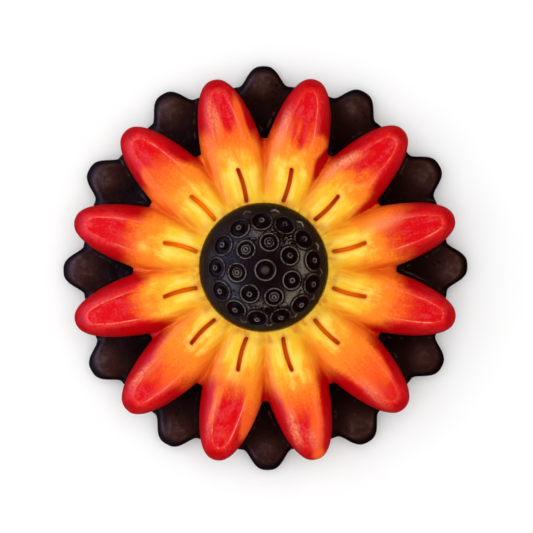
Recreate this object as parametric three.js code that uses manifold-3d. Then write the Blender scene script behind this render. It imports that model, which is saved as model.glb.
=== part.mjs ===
// A glazed flower ornament that lies face up on its flat back: a dark scalloped back layer, a layer of
// twelve fused petals and a dark stamped dome. Millimetres, +Z up, origin under the middle of the back.
import * as THREE from 'three';
import { mergeVertices } from 'three/addons/utils/BufferGeometryUtils.js';
import Module from 'manifold-3d';

const wasm = await Module();
wasm.setup();

// The whole flower
const PETAL_COUNT = 12;
const SECTOR = (2 * Math.PI) / PETAL_COUNT;
const DEGREE = Math.PI / 180;

// Heights of the stack above the surface it lies on
const BACK_EDGE_Z = 4.25;
const PETAL_SEAT_Z = 9;
const PETAL_EDGE_Z = 13;
const DOME_SEAT_Z = 18.5;
const DOME_WIDEST_Z = 21;

// Back layer: twelve lobes with shallow valleys between them, and a soft bulb near each lobe's tip
const LOBE_REACH = 75;
const LOBE_VALLEY_REACH = 68.1;
const LOBE_HALF_ANGLE = 8 * DEGREE;
const LOBE_FULLNESS = 1.3;
const LOBE_TURN = 0.8 * DEGREE;
const BACK_FLAT_RADIUS = 46;
const BACK_FOOT_RADIUS = 54;
const BACK_EDGE_ROUNDING = 5;
const BACK_DROOP = 0.8;
const BACK_VALLEY_DIP = 0.9;
const BULB_REACH = 67.5;
const BULB_HEIGHT = 0.75;
const BULB_RADIUS = 6;

// Petal layer: twelve petals that share a web, each with a shallow dish near its tip
const PETAL_REACH = 72.3;
const PETAL_HALF_WIDTH = 11.85;
const PETAL_WIDEST_AT = 36;
const PETAL_BLUNTNESS = 2.3;
const PETAL_TURN = 15.3 * DEGREE;
const PETAL_CROWN = 8;
const PETAL_PUFF = 3;
const NOTCH_REACH = 48.4;
const WEB_CROWN = 5;
const WEB_FLATNESS = 8;
const CREASE_SOFTNESS = 1.2;
const DISH_DEPTH = 0.8;
const DISH_HALF_WIDTH = 0.5;
const DISH_INNER_END = [44, 52];
const DISH_OUTER_END = [62, 68];
const WEB_RING_RADIUS = 40;
const ROOT_RISE = [23.4, 28];
const PETAL_SHIFT = { x: -0.2, y: -0.6 };

// Engraved groove on each petal
const GROOVE_START = 25.4;
const GROOVE_END = 38.2;
const GROOVE_WIDTH = 1.4;
const GROOVE_DEPTH = 0.9;
const GROOVE_BOW = 0.75;
const GROOVE_CLEARANCE = 5;

// Centre dome
const DOME_RADIUS = 23.6;
const DOME_RISE = 15.5;
const DOME_FOOT_RADIUS = 21.8;
const DOME_FOOT_ROUNDING = { radius: 23, z: 19.4 };
const DOME_SHIFT = { x: -0.6, y: 0.3 };

// Stamps on the dome: a button in the middle, then a ring of seven and a ring of thirteen posts, each
// in a cup with a raised lip. The pattern was pressed a little off the dome's own middle.
const STAMP_RINGS = [
  { count: 1, reach: 0, turn: 0, lip: 3.9 },
  { count: 7, reach: 10.2, turn: 30.6 * DEGREE, lip: 3.7 },
  { count: 13, reach: 17.8, turn: 11.2 * DEGREE, lip: 4.1 },
];
const STAMP_SHIFT = { x: 0.6, y: -1 };
const LIP_WIDTH = 0.6;
const LIP_HEIGHT = 0.3;
const CUP_DEPTH = 0.95;
const POST_BASE_RADIUS = 1.9;
const POST_TIP_RADIUS = 0.85;
const POST_HEIGHT = 1.75;
const CRATER_DEPTH = 0.8;
const BUTTON_SHOULDER_RADIUS = 1.35;
const BUTTON_SHOULDER_HEIGHT = 0.75;
const BUTTON_HEIGHT = 1;
const STAMP_ROOT = 2.5;

// Fineness of the faceted surfaces
const BACK_SEGMENTS = 144;
const PETAL_SEGMENTS = 192;
const DOME_SEGMENTS = 48;
const DOME_STEPS = 9;
const STAMP_SIDES = 12;
const GROOVE_END_STEPS = 4;
const HALVINGS = 40;
const MERGE_DISTANCE = 1e-4;
const THINNEST_WIDTH = 0.01;

// 0 below the first value of a range, 1 above the last, and smooth in between.
function ramp(value, low, high) {
  return THREE.MathUtils.smoothstep(value, low, high);
}

// The higher of two heights, with the crease between them rounded off.
function softMax(first, second) {
  const overlap = Math.max(CREASE_SOFTNESS - Math.abs(first - second), 0);
  return Math.max(first, second) + (overlap * overlap) / (4 * CREASE_SOFTNESS);
}

// An angle measured from the middle of the nearest repeat, between -SECTOR / 2 and SECTOR / 2.
function angleInSector(angle) {
  return angle - SECTOR * Math.round(angle / SECTOR);
}

// A geometry reduced to its places, with shared points merged and empty faces at the poles removed.
function asBody(geometry) {
  geometry.deleteAttribute('normal');
  geometry.deleteAttribute('uv');
  const merged = mergeVertices(geometry, MERGE_DISTANCE);
  const kept = [];
  for (let start = 0; start < merged.index.count; start += 3) {
    const corners = [0, 1, 2].map((offset) => merged.index.getX(start + offset));
    if (new Set(corners).size === 3) kept.push(...corners);
  }
  merged.setIndex(kept);
  return merged;
}

function toSolid(geometry) {
  const mesh = new wasm.Mesh({
    numProp: 3,
    vertProperties: Float32Array.from(geometry.attributes.position.array),
    triVerts: Uint32Array.from(geometry.index.array),
  });
  return new wasm.Manifold(mesh);
}

function toGeometry(solid) {
  const mesh = solid.getMesh();
  const geometry = new THREE.BufferGeometry();
  geometry.setAttribute('position', new THREE.BufferAttribute(mesh.vertProperties, 3));
  geometry.setIndex(new THREE.BufferAttribute(mesh.triVerts, 1));
  geometry.computeVertexNormals();
  return geometry;
}

// A closed disc from a list of rings, from the middle of its underside round its edge to the middle of
// its top. Each ring is a function that gives the radius and height of a point at an angle. The lathe
// makes a ball with as many rings, and its points then move to their places.
function formedDisc(rings, segments) {
  const profile = rings.map((ring, index) => {
    const share = index / (rings.length - 1);
    const isPole = index === 0 || index === rings.length - 1;
    return new THREE.Vector2(isPole ? 0 : Math.sin(Math.PI * share), -Math.cos(Math.PI * share));
  });
  const geometry = new THREE.LatheGeometry(profile, segments);
  const position = geometry.attributes.position;
  for (let index = 0; index < position.count; index += 1) {
    const segment = Math.floor(index / rings.length) % segments;
    const angle = (2 * Math.PI * segment) / segments;
    const { radius, z } = rings[index % rings.length](angle);
    position.setXYZ(index, radius * Math.cos(angle), radius * Math.sin(angle), z);
  }
  return asBody(geometry);
}

// Distance from the middle to the back layer's outline at an angle: round lobes, flat valleys.
function backReach(angle) {
  const off = Math.min(Math.abs(angleInSector(angle - LOBE_TURN)) / LOBE_HALF_ANGLE, 1);
  const lobe = (1 + Math.cos(Math.PI * off ** LOBE_FULLNESS)) / 2;
  return THREE.MathUtils.lerp(LOBE_VALLEY_REACH, LOBE_REACH, lobe);
}

// Height of the back layer's upper face: flat in the middle, drooping outwards and more in the valleys,
// up again in each bulb, and rounded off at the edge.
function backTop(radius, angle) {
  const off = angleInSector(angle - LOBE_TURN);
  const fromBulb = Math.hypot(radius * Math.cos(off) - BULB_REACH, radius * Math.sin(off));
  const bulb = BULB_HEIGHT * (1 - ramp(fromBulb, 0, BULB_RADIUS));
  const outwards = ramp(radius, BACK_FLAT_RADIUS, LOBE_VALLEY_REACH - BACK_EDGE_ROUNDING);
  const valley = BACK_VALLEY_DIP * ramp(Math.abs(off), 0, SECTOR / 2);
  const crown = PETAL_SEAT_Z - outwards * (BACK_DROOP + valley) + bulb;
  const fromEdge = THREE.MathUtils.clamp((backReach(angle) - radius) / BACK_EDGE_ROUNDING, 0, 1);
  return BACK_EDGE_Z + (crown - BACK_EDGE_Z) * Math.sqrt(1 - (1 - fromEdge) ** 2);
}

// A ring's share runs from 0 on the back layer's flat middle to 1 on its lobed edge.
const BACK_UNDERSIDE = [
  { share: 0.86, z: 0.9 },
  { share: 0.96, z: 2.3 },
];
const BACK_TOP_SHARES = [1, 0.97, 0.9, 0.78, 0.6, 0.35];

function makeBackLayer() {
  const radiusAt = (angle, share) => THREE.MathUtils.lerp(BACK_FLAT_RADIUS, backReach(angle), share);
  const rings = [
    () => ({ radius: 0, z: 0 }),
    () => ({ radius: BACK_FOOT_RADIUS, z: 0 }),
    ...BACK_UNDERSIDE.map(({ share, z }) => (angle) => ({ radius: radiusAt(angle, share), z })),
    ...BACK_TOP_SHARES.map((share) => (angle) => {
      const radius = radiusAt(angle, share);
      return { radius, z: backTop(radius, angle) };
    }),
    () => ({ radius: BACK_FLAT_RADIUS, z: PETAL_SEAT_Z }),
    () => ({ radius: 0, z: PETAL_SEAT_Z }),
  ];
  return formedDisc(rings, BACK_SEGMENTS);
}

// How far a place lies from a petal's widest part, 0, to its tip, 1.
function shareToTip(along) {
  return THREE.MathUtils.clamp((along - PETAL_WIDEST_AT) / (PETAL_REACH - PETAL_WIDEST_AT), 0, 1);
}

function petalHalfWidth(along) {
  return PETAL_HALF_WIDTH * (1 - shareToTip(along) ** 2) ** (1 / PETAL_BLUNTNESS);
}

// Distance from the middle to the petals' outline at an angle, found by halving, with a round notch
// where two petals meet.
function petalReach(angle) {
  const off = Math.abs(angleInSector(angle - PETAL_TURN));
  let inside = WEB_RING_RADIUS;
  let outside = PETAL_REACH;
  for (let step = 0; step < HALVINGS; step += 1) {
    const middle = (inside + outside) / 2;
    const isWithin = middle * Math.sin(off) < petalHalfWidth(middle * Math.cos(off));
    if (isWithin) inside = middle;
    else outside = middle;
  }
  return softMax(inside, NOTCH_REACH);
}

// Height of one petal above the petals' edge, at a place along and across the petal.
function onePetal(along, across) {
  const sideways = Math.min(Math.abs(across) / Math.max(petalHalfWidth(along), THINNEST_WIDTH), 1);
  const lengthwise = Math.sqrt(1 - shareToTip(along) ** PETAL_PUFF);
  const crosswise = Math.sqrt(1 - sideways ** PETAL_PUFF);
  const dishSpan = ramp(along, ...DISH_INNER_END) * (1 - ramp(along, ...DISH_OUTER_END));
  const dish = DISH_DEPTH * dishSpan * (1 - ramp(sideways, 0, DISH_HALF_WIDTH));
  return PETAL_CROWN * lengthwise * crosswise - dish;
}

// Height of the petal layer's upper face. The web that joins the petals fills the creases between them,
// and the roots come down to the dome's seat.
function petalTop(radius, angle) {
  const off = Math.abs(angleInSector(angle - PETAL_TURN));
  const own = onePetal(radius * Math.cos(off), radius * Math.sin(off));
  const next = onePetal(radius * Math.cos(SECTOR - off), radius * Math.sin(SECTOR - off));
  const web = WEB_CROWN * Math.sqrt(Math.max(1 - (radius / NOTCH_REACH) ** WEB_FLATNESS, 0));
  const petals = PETAL_EDGE_Z + softMax(softMax(own, next), web);
  return THREE.MathUtils.lerp(DOME_SEAT_Z, petals, ramp(radius, ...ROOT_RISE));
}

// A ring's share runs from 0 where the web begins to 1 on the petals' edge.
const PETAL_UNDERSIDE = [
  { share: 0.82, z: PETAL_SEAT_Z },
  { share: 0.93, z: PETAL_SEAT_Z + 0.9 },
  { share: 0.985, z: PETAL_SEAT_Z + 2.4 },
  { share: 1, z: PETAL_EDGE_Z },
];
const PETAL_TOP_SHARES = [0.985, 0.94, 0.86, 0.73, 0.55, 0.3, 0];
const PETAL_ROOT_RADII = [34.5, 30, 26.7, ROOT_RISE[0]];

function makePlainPetals() {
  const radiusAt = (angle, share) => THREE.MathUtils.lerp(WEB_RING_RADIUS, petalReach(angle), share);
  const rings = [
    () => ({ radius: 0, z: PETAL_SEAT_Z }),
    ...PETAL_UNDERSIDE.map(({ share, z }) => (angle) => ({ radius: radiusAt(angle, share), z })),
    ...PETAL_TOP_SHARES.map((share) => (angle) => {
      const radius = radiusAt(angle, share);
      return { radius, z: petalTop(radius, angle) };
    }),
    ...PETAL_ROOT_RADII.map((radius) => (angle) => ({ radius, z: petalTop(radius, angle) })),
    () => ({ radius: 0, z: DOME_SEAT_Z }),
  ];
  return toSolid(formedDisc(rings, PETAL_SEGMENTS));
}

// What is cut for one groove: a bowed slot with round ends, whose floor follows the petal's top.
function makeGroove(petalAngle) {
  const half = GROOVE_WIDTH / 2;
  const middle = (GROOVE_START + GROOVE_END) / 2;
  const outline = new THREE.Shape();
  outline.absarc(GROOVE_END - half, 0, half, -Math.PI / 2, Math.PI / 2, false);
  outline.lineTo(middle, half);
  outline.absarc(GROOVE_START + half, 0, half, Math.PI / 2, (3 * Math.PI) / 2, false);
  outline.lineTo(middle, -half);
  const slot = new THREE.ExtrudeGeometry(outline, {
    depth: 1,
    curveSegments: GROOVE_END_STEPS,
    bevelEnabled: false,
  });
  const position = slot.attributes.position;
  for (let index = 0; index < position.count; index += 1) {
    const along = position.getX(index);
    const bend = Math.sin((Math.PI * (along - GROOVE_START)) / (GROOVE_END - GROOVE_START));
    const across = position.getY(index) - GROOVE_BOW * bend;
    const angle = petalAngle + Math.atan2(across, along);
    const radius = Math.hypot(along, across);
    const isFloor = position.getZ(index) === 0;
    const z = petalTop(radius, angle) + (isFloor ? -GROOVE_DEPTH : GROOVE_CLEARANCE);
    position.setXYZ(index, radius * Math.cos(angle), radius * Math.sin(angle), z);
  }
  return toSolid(asBody(slot));
}

function makePetalLayer() {
  let layer = makePlainPetals();
  for (let petal = 0; petal < PETAL_COUNT; petal += 1) {
    layer = layer.subtract(makeGroove(PETAL_TURN + petal * SECTOR));
  }
  return toGeometry(layer);
}

// The dome before it is stamped, tucked in where it meets the petals.
function makePlainDome() {
  const profile = [
    new THREE.Vector2(0, DOME_SEAT_Z),
    new THREE.Vector2(DOME_FOOT_RADIUS, DOME_SEAT_Z),
    new THREE.Vector2(DOME_FOOT_ROUNDING.radius, DOME_FOOT_ROUNDING.z),
  ];
  for (let step = 0; step < DOME_STEPS; step += 1) {
    const tilt = (Math.PI / 2) * (step / DOME_STEPS);
    const radius = DOME_RADIUS * Math.cos(tilt);
    profile.push(new THREE.Vector2(radius, DOME_WIDEST_Z + DOME_RISE * Math.sin(tilt)));
  }
  profile.push(new THREE.Vector2(0, DOME_WIDEST_Z + DOME_RISE));
  const geometry = new THREE.LatheGeometry(profile, DOME_SEGMENTS);
  geometry.rotateX(Math.PI / 2);
  return toSolid(asBody(geometry));
}

// A round solid from [radius, height] pairs, standing on the dome at a place, square to its surface.
function onDome(profile, place) {
  const geometry = new THREE.LatheGeometry(
    profile.map(([radius, height]) => new THREE.Vector2(radius, height)),
    STAMP_SIDES,
  );
  const share = Math.hypot(place.x, place.y) / DOME_RADIUS;
  const height = DOME_RISE * Math.sqrt(1 - share * share);
  const normal = new THREE.Vector3(
    place.x / DOME_RADIUS ** 2,
    place.y / DOME_RADIUS ** 2,
    height / DOME_RISE ** 2,
  ).normalize();
  geometry.rotateX(Math.PI / 2);
  geometry.applyQuaternion(
    new THREE.Quaternion().setFromUnitVectors(new THREE.Vector3(0, 0, 1), normal),
  );
  geometry.translate(place.x, place.y, DOME_WIDEST_Z + height);
  return toSolid(asBody(geometry));
}

// One stamp: a raised lip is added, its cup is cut, and the button or the cratered post stands in it.
function stamp(dome, place, lip, hasButton) {
  const cupRadius = lip - LIP_WIDTH;
  const rim = [
    [0, -STAMP_ROOT],
    [lip + LIP_WIDTH / 2, -STAMP_ROOT],
    [cupRadius, LIP_HEIGHT],
    [0, LIP_HEIGHT],
  ];
  const cup = [
    [0, -CUP_DEPTH],
    [cupRadius, -CUP_DEPTH],
    [cupRadius, POST_HEIGHT],
    [0, POST_HEIGHT],
  ];
  const root = [
    [0, -STAMP_ROOT],
    [POST_BASE_RADIUS, -STAMP_ROOT],
    [POST_BASE_RADIUS, -CUP_DEPTH],
  ];
  const button = [
    ...root,
    [BUTTON_SHOULDER_RADIUS, BUTTON_SHOULDER_HEIGHT - CUP_DEPTH],
    [0, BUTTON_HEIGHT - CUP_DEPTH],
  ];
  const post = [
    ...root,
    [POST_TIP_RADIUS, POST_HEIGHT - CUP_DEPTH],
    [0, POST_HEIGHT - CRATER_DEPTH - CUP_DEPTH],
  ];
  return dome
    .add(onDome(rim, place))
    .subtract(onDome(cup, place))
    .add(onDome(hasButton ? button : post, place));
}

function makeDome() {
  let dome = makePlainDome();
  for (const { count, reach, turn, lip } of STAMP_RINGS) {
    for (let index = 0; index < count; index += 1) {
      const angle = turn + (2 * Math.PI * index) / count;
      const place = {
        x: STAMP_SHIFT.x + reach * Math.cos(angle),
        y: STAMP_SHIFT.y + reach * Math.sin(angle),
      };
      dome = stamp(dome, place, lip, count === 1);
    }
  }
  return toGeometry(dome);
}

function makeMesh(name, geometry, color, shift) {
  const material = new THREE.MeshStandardMaterial({ color, roughness: 0.25, metalness: 0 });
  const mesh = new THREE.Mesh(geometry, material);
  mesh.name = name;
  mesh.position.set(shift.x, shift.y, 0);
  return mesh;
}

const flower = new THREE.Group();
flower.add(makeMesh('back_layer', makeBackLayer(), 0x1b1214, { x: 0, y: 0 }));
flower.add(makeMesh('petal_layer', makePetalLayer(), 0xe8501e, PETAL_SHIFT));
flower.add(makeMesh('centre_dome', makeDome(), 0x1a1517, DOME_SHIFT));

export default flower;
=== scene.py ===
"""A glazed flower ornament, hand-painted, lying face up on a pale surface.

Three layers stand on each other: a dark scalloped back, twelve puffy petals fused into one piece, each
with an engraved groove, and a dark dome stamped with rings of small cratered posts. Sizes are in
millimetres and angles in radians until a mesh is placed, and +Z points out of the flower's face.
"""

import logging
import math
from collections.abc import Callable, Iterator, Sequence
from dataclasses import dataclass, field, replace
from enum import Enum

import bmesh
import bpy
from mathutils import Matrix, Vector, noise


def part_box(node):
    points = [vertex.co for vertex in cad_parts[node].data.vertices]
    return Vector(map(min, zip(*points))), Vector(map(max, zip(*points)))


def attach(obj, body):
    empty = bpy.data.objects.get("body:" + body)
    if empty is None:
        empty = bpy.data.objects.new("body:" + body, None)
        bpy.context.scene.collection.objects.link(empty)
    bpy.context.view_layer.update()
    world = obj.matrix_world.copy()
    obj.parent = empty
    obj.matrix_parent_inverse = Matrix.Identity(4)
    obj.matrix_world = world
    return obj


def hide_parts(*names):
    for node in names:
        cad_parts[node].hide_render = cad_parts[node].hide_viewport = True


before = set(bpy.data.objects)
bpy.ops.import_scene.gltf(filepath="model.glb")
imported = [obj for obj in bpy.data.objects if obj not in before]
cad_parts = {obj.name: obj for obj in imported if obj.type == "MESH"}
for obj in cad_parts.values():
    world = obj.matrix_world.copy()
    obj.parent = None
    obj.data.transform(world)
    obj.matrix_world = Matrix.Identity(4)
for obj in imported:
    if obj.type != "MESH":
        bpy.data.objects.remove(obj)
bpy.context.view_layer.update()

MILLIMETRE = 0.001
DEGREE = math.pi / 180
FULL_TURN = 2 * math.pi
PETAL_COUNT = 12
SECTOR = FULL_TURN / PETAL_COUNT
MERGE_DISTANCE = 1e-7
TINY = 0.01

Colour = tuple[float, float, float]
Span = tuple[float, float]
Ring = Callable[[float], tuple[float, float]]
log = logging.getLogger("flower")


def smooth_ramp(value: float, low: float, high: float) -> float:
    """Rises smoothly from 0 at low to 1 at high.

    Args:
        value: The number to place between the two ends.
        low: Where the ramp starts.
        high: Where the ramp ends.

    Returns:
        A number from 0 to 1.
    """
    share = min(max((value - low) / (high - low), 0.0), 1.0)
    return share * share * (3 - 2 * share)


def between(first: float, last: float, share: float) -> float:
    """The number that lies a share of the way from first to last."""
    return first + (last - first) * share


def soft_max(first: float, second: float, softness: float) -> float:
    """The higher of two heights, with the crease between them rounded off.

    Args:
        first: One height.
        second: The other height.
        softness: How far apart the two may be and still be rounded.

    Returns:
        The height of the rounded surface.
    """
    overlap = max(softness - abs(first - second), 0.0)
    return max(first, second) + overlap * overlap / (4 * softness)


def bell(value: float, middle: float, width: float) -> float:
    """A smooth hump: 1 at the middle and near 0 two widths away."""
    return math.exp(-(((value - middle) / width) ** 2))


def angle_in_sector(angle: float) -> float:
    """The angle measured from the middle of the nearest of the twelve sectors."""
    return angle - SECTOR * round(angle / SECTOR)


def hand_wave(place: Vector, wavelength: float, seed: float) -> float:
    """The slight unevenness of a surface shaped by hand.

    Args:
        place: Where on the surface, in millimetres.
        wavelength: The size of the waves, in millimetres.
        seed: Picks one pattern of waves.

    Returns:
        A number from about -1 to 1.
    """
    return noise.noise(Vector((place.x / wavelength, place.y / wavelength, seed)))


def place_at(radius: float, angle: float, z: float = 0.0) -> Vector:
    """The place at a distance and in a direction from the middle, at a height."""
    return Vector((radius * math.cos(angle), radius * math.sin(angle), z))


def middle_of(node: str) -> Vector:
    """The middle of a solid of the frame as seen from above, in millimetres."""
    low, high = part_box(node)
    return Vector(((low.x + high.x) / 2, (low.y + high.y) / 2, 0)) / MILLIMETRE


def underside_of(node: str) -> float:
    """The height of a solid's lowest point, in millimetres."""
    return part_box(node)[0].z / MILLIMETRE


def piled_outwards(count: int) -> list[float]:
    """Shares from 0 to 1 that lie closer together towards 1, where a surface turns down to its edge."""
    return [math.sin(math.pi / 2 * step / count) for step in range(count + 1)]


def evenly(first: float, last: float, count: int) -> list[float]:
    """Numbers from first, in count even steps, up to but without last."""
    return [between(first, last, step / count) for step in range(count)]


def wrapped_disc(ring_count: int, segments: int, place: Callable[[int, int], Vector]) -> bmesh.types.BMesh:
    """Wraps a flat grid once round and moves each point to its place on a closed disc.

    Args:
        ring_count: How many rings the disc has, from the middle of one face to that of the other.
        segments: How many points each ring has.
        place: Gives the place of a point, in millimetres, from its ring and its segment.

    Returns:
        The closed disc, in metres, with its faces pointing out.
    """
    form = bmesh.new()
    bmesh.ops.create_grid(form, x_segments=segments, y_segments=ring_count - 1, size=1)
    for point in form.verts:
        segment = round((point.co.x + 1) / 2 * segments) % segments
        ring = round((point.co.y + 1) / 2 * (ring_count - 1))
        point.co = place(ring, segment) * MILLIMETRE
    bmesh.ops.remove_doubles(form, verts=form.verts, dist=MERGE_DISTANCE)
    bmesh.ops.recalc_face_normals(form, faces=form.faces)
    return form


def in_scene(name: str, data: bpy.types.ID) -> bpy.types.Object:
    """Puts a mesh, a lamp or a camera into the scene, as an object at the origin."""
    holder = bpy.data.objects.new(name, data)
    bpy.context.scene.collection.objects.link(holder)
    return holder


def as_piece(name: str, form: bmesh.types.BMesh) -> bpy.types.Object:
    """Turns a finished bmesh into a smooth-shaded object at the origin.

    Args:
        name: The object's name.
        form: The bmesh, which is freed.

    Returns:
        The new object.
    """
    mesh = bpy.data.meshes.new(name)
    form.to_mesh(mesh)
    form.free()
    mesh.polygons.foreach_set("use_smooth", [True] * len(mesh.polygons))
    return in_scene(name, mesh)


def write_numbers(piece: bpy.types.Object, name: str, numbers: Sequence[float]) -> None:
    """Stores one number for each point of a piece, for its material to read.

    Args:
        piece: The object whose mesh keeps the numbers.
        name: The attribute's name.
        numbers: The numbers, in the order of the mesh's points.
    """
    attribute = piece.data.attributes.new(name, "FLOAT", "POINT")
    attribute.data.foreach_set("value", numbers)


class Signal:
    """What a node of a material gives at each point of a surface: a number, a place or a colour."""

    def __init__(self, graph: "Graph", socket: bpy.types.NodeSocket) -> None:
        """Keeps the graph that the signal belongs to and the socket that it comes from."""
        self.graph = graph
        self.socket = socket

    def __add__(self, other: "Term") -> "Signal":
        """This plus other."""
        return self.graph.math("ADD", self, other)

    def __sub__(self, other: "Term") -> "Signal":
        """This minus other."""
        return self.graph.math("SUBTRACT", self, other)

    def __rsub__(self, other: float) -> "Signal":
        """Other minus this."""
        return self.graph.math("SUBTRACT", other, self)

    def __mul__(self, other: "Term") -> "Signal":
        """This times other."""
        return self.graph.math("MULTIPLY", self, other)

    def __truediv__(self, other: "Term") -> "Signal":
        """This over other."""
        return self.graph.math("DIVIDE", self, other)

    def __pow__(self, other: "Term") -> "Signal":
        """This to the power of other."""
        return self.graph.math("POWER", self, other)

    def __abs__(self) -> "Signal":
        """The size of this without its sign."""
        return self.graph.math("ABSOLUTE", self)

    def at_least(self, other: "Term") -> "Signal":
        """The larger of this and other."""
        return self.graph.math("MAXIMUM", self, other)

    def at_most(self, other: "Term") -> "Signal":
        """The smaller of this and other."""
        return self.graph.math("MINIMUM", self, other)

    def within(self, low: float, high: float) -> "Signal":
        """This, kept between low and high."""
        return self.at_least(low).at_most(high)

    def ramp(self, low: "Term", high: "Term") -> "Signal":
        """Rises smoothly from 0 where this is low to 1 where it is high.

        Args:
            low: Where the ramp starts.
            high: Where the ramp ends.

        Returns:
            A signal from 0 to 1.
        """
        step = self.graph.node("ShaderNodeMapRange", interpolation_type="SMOOTHSTEP", clamp=True)
        self.graph.feed(step.inputs["Value"], self)
        self.graph.feed(step.inputs["From Min"], low)
        self.graph.feed(step.inputs["From Max"], high)
        return Signal(self.graph, step.outputs["Result"])


Term = Signal | float


@dataclass(frozen=True)
class Speckle:
    """Soft random spots: how many lie on a millimetre in each direction, and how fine they get.

    On the petals the third direction is the petal's number, which gives each petal spots of its own.
    """

    density: tuple[float, float, float]
    detail: float = 2.0
    roughness: float = 0.5


class Graph:
    """The node tree of one material, put together from signals."""

    def __init__(self, name: str) -> None:
        """Starts an empty material with this name."""
        self.material = bpy.data.materials.new(name)
        self.material.use_nodes = True
        self.tree = self.material.node_tree
        self.tree.nodes.clear()

    def node(self, kind: str, **settings: object) -> bpy.types.Node:
        """Adds a node.

        Args:
            kind: Blender's name for the kind of node.
            **settings: The node's own options.

        Returns:
            The new node.
        """
        made = self.tree.nodes.new(kind)
        for option, value in settings.items():
            setattr(made, option, value)
        return made

    def feed(self, socket: bpy.types.NodeSocket, value: object) -> None:
        """Links a signal to a socket, or sets the socket to a plain value."""
        if isinstance(value, Signal):
            self.tree.links.new(value.socket, socket)
        else:
            socket.default_value = value

    def math(self, operation: str, *terms: Term) -> Signal:
        """Works out a number from others.

        Args:
            operation: Blender's name for the operation.
            *terms: What it works on.

        Returns:
            The result.
        """
        step = self.node("ShaderNodeMath", operation=operation)
        for socket, term in zip(step.inputs, terms):
            self.feed(socket, term)
        return Signal(self, step.outputs[0])

    def place(self) -> tuple[Signal, Signal, Signal]:
        """The point's own x, y and z in millimetres."""
        coordinates = self.node("ShaderNodeTexCoord")
        scaled = self.node("ShaderNodeVectorMath", operation="SCALE")
        self.tree.links.new(coordinates.outputs["Object"], scaled.inputs[0])
        scaled.inputs["Scale"].default_value = 1 / MILLIMETRE
        parts = self.node("ShaderNodeSeparateXYZ")
        self.tree.links.new(scaled.outputs[0], parts.inputs[0])
        return tuple(Signal(self, socket) for socket in parts.outputs)

    def vector(self, x: Term, y: Term, z: Term) -> Signal:
        """Three numbers as one place."""
        joined = self.node("ShaderNodeCombineXYZ")
        for socket, term in zip(joined.inputs, (x, y, z)):
            self.feed(socket, term)
        return Signal(self, joined.outputs[0])

    def attribute(self, name: str) -> Signal:
        """A number that the mesh keeps for each of its points."""
        reader = self.node("ShaderNodeAttribute", attribute_name=name)
        return Signal(self, reader.outputs["Fac"])

    def speckle(self, spots: Speckle, x: Signal, y: Signal, z: Signal) -> Signal:
        """Random spots.

        Args:
            spots: How large and how fine they are.
            x: How far a point lies in the first direction.
            y: How far it lies in the second direction.
            z: How far it lies in the third direction.

        Returns:
            A signal from about -1 to 1 with its middle at 0.
        """
        across, along, up = spots.density
        step = self.node("ShaderNodeTexNoise", noise_dimensions="3D", normalize=False)
        self.feed(step.inputs["Vector"], self.vector(x * across, y * along, z * up))
        step.inputs["Scale"].default_value = 1.0
        step.inputs["Detail"].default_value = spots.detail
        step.inputs["Roughness"].default_value = spots.roughness
        return Signal(self, step.outputs["Fac"])

    def blend(self, share: Term, first: "Colour | Signal", second: "Colour | Signal") -> Signal:
        """Mixes two colours.

        Args:
            share: 0 for the first colour, 1 for the second.
            first: A colour.
            second: A colour.

        Returns:
            The mixed colour.
        """
        mixer = self.node("ShaderNodeMix", data_type="RGBA", clamp_factor=True)
        factor, start, end = mixer.inputs[0], mixer.inputs[6], mixer.inputs[7]
        self.feed(factor, share)
        self.feed(start, first if isinstance(first, Signal) else (*first, 1.0))
        self.feed(end, second if isinstance(second, Signal) else (*second, 1.0))
        return Signal(self, mixer.outputs[2])

    def relief(self, height: Signal, depth: float) -> Signal:
        """Surface directions bent by a fine relief.

        Args:
            height: The relief, from about -1 to 1.
            depth: What a height of 1 stands for, in millimetres.

        Returns:
            The bent surface direction.
        """
        bump = self.node("ShaderNodeBump")
        bump.inputs["Strength"].default_value = 1.0
        bump.inputs["Distance"].default_value = depth * MILLIMETRE
        self.feed(bump.inputs["Height"], height)
        return Signal(self, bump.outputs["Normal"])

    def close(self, surface: bpy.types.Node) -> bpy.types.Material:
        """Makes a shader the material's surface."""
        output = self.node("ShaderNodeOutputMaterial")
        self.tree.links.new(surface.outputs[0], output.inputs["Surface"])
        return self.material

    def finish(self, colour: Signal, roughness: Term, direction: Signal, coat: "Coat") -> bpy.types.Material:
        """Closes the graph with a glazed surface.

        Args:
            colour: The paint under the clear glaze.
            roughness: How matt the paint is.
            direction: The surface direction, bent by any relief.
            coat: The clear glaze.

        Returns:
            The finished material.
        """
        surface = self.node("ShaderNodeBsdfPrincipled")
        self.feed(surface.inputs["Base Color"], colour)
        self.feed(surface.inputs["Roughness"], roughness)
        self.feed(surface.inputs["Normal"], direction)
        surface.inputs["IOR"].default_value = coat.index
        surface.inputs["Coat Weight"].default_value = coat.weight
        surface.inputs["Coat Roughness"].default_value = coat.roughness
        surface.inputs["Coat IOR"].default_value = coat.index
        return self.close(surface)


@dataclass(frozen=True)
class Coat:
    """The clear glaze over the paint."""

    weight: float
    roughness: float
    index: float


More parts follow.
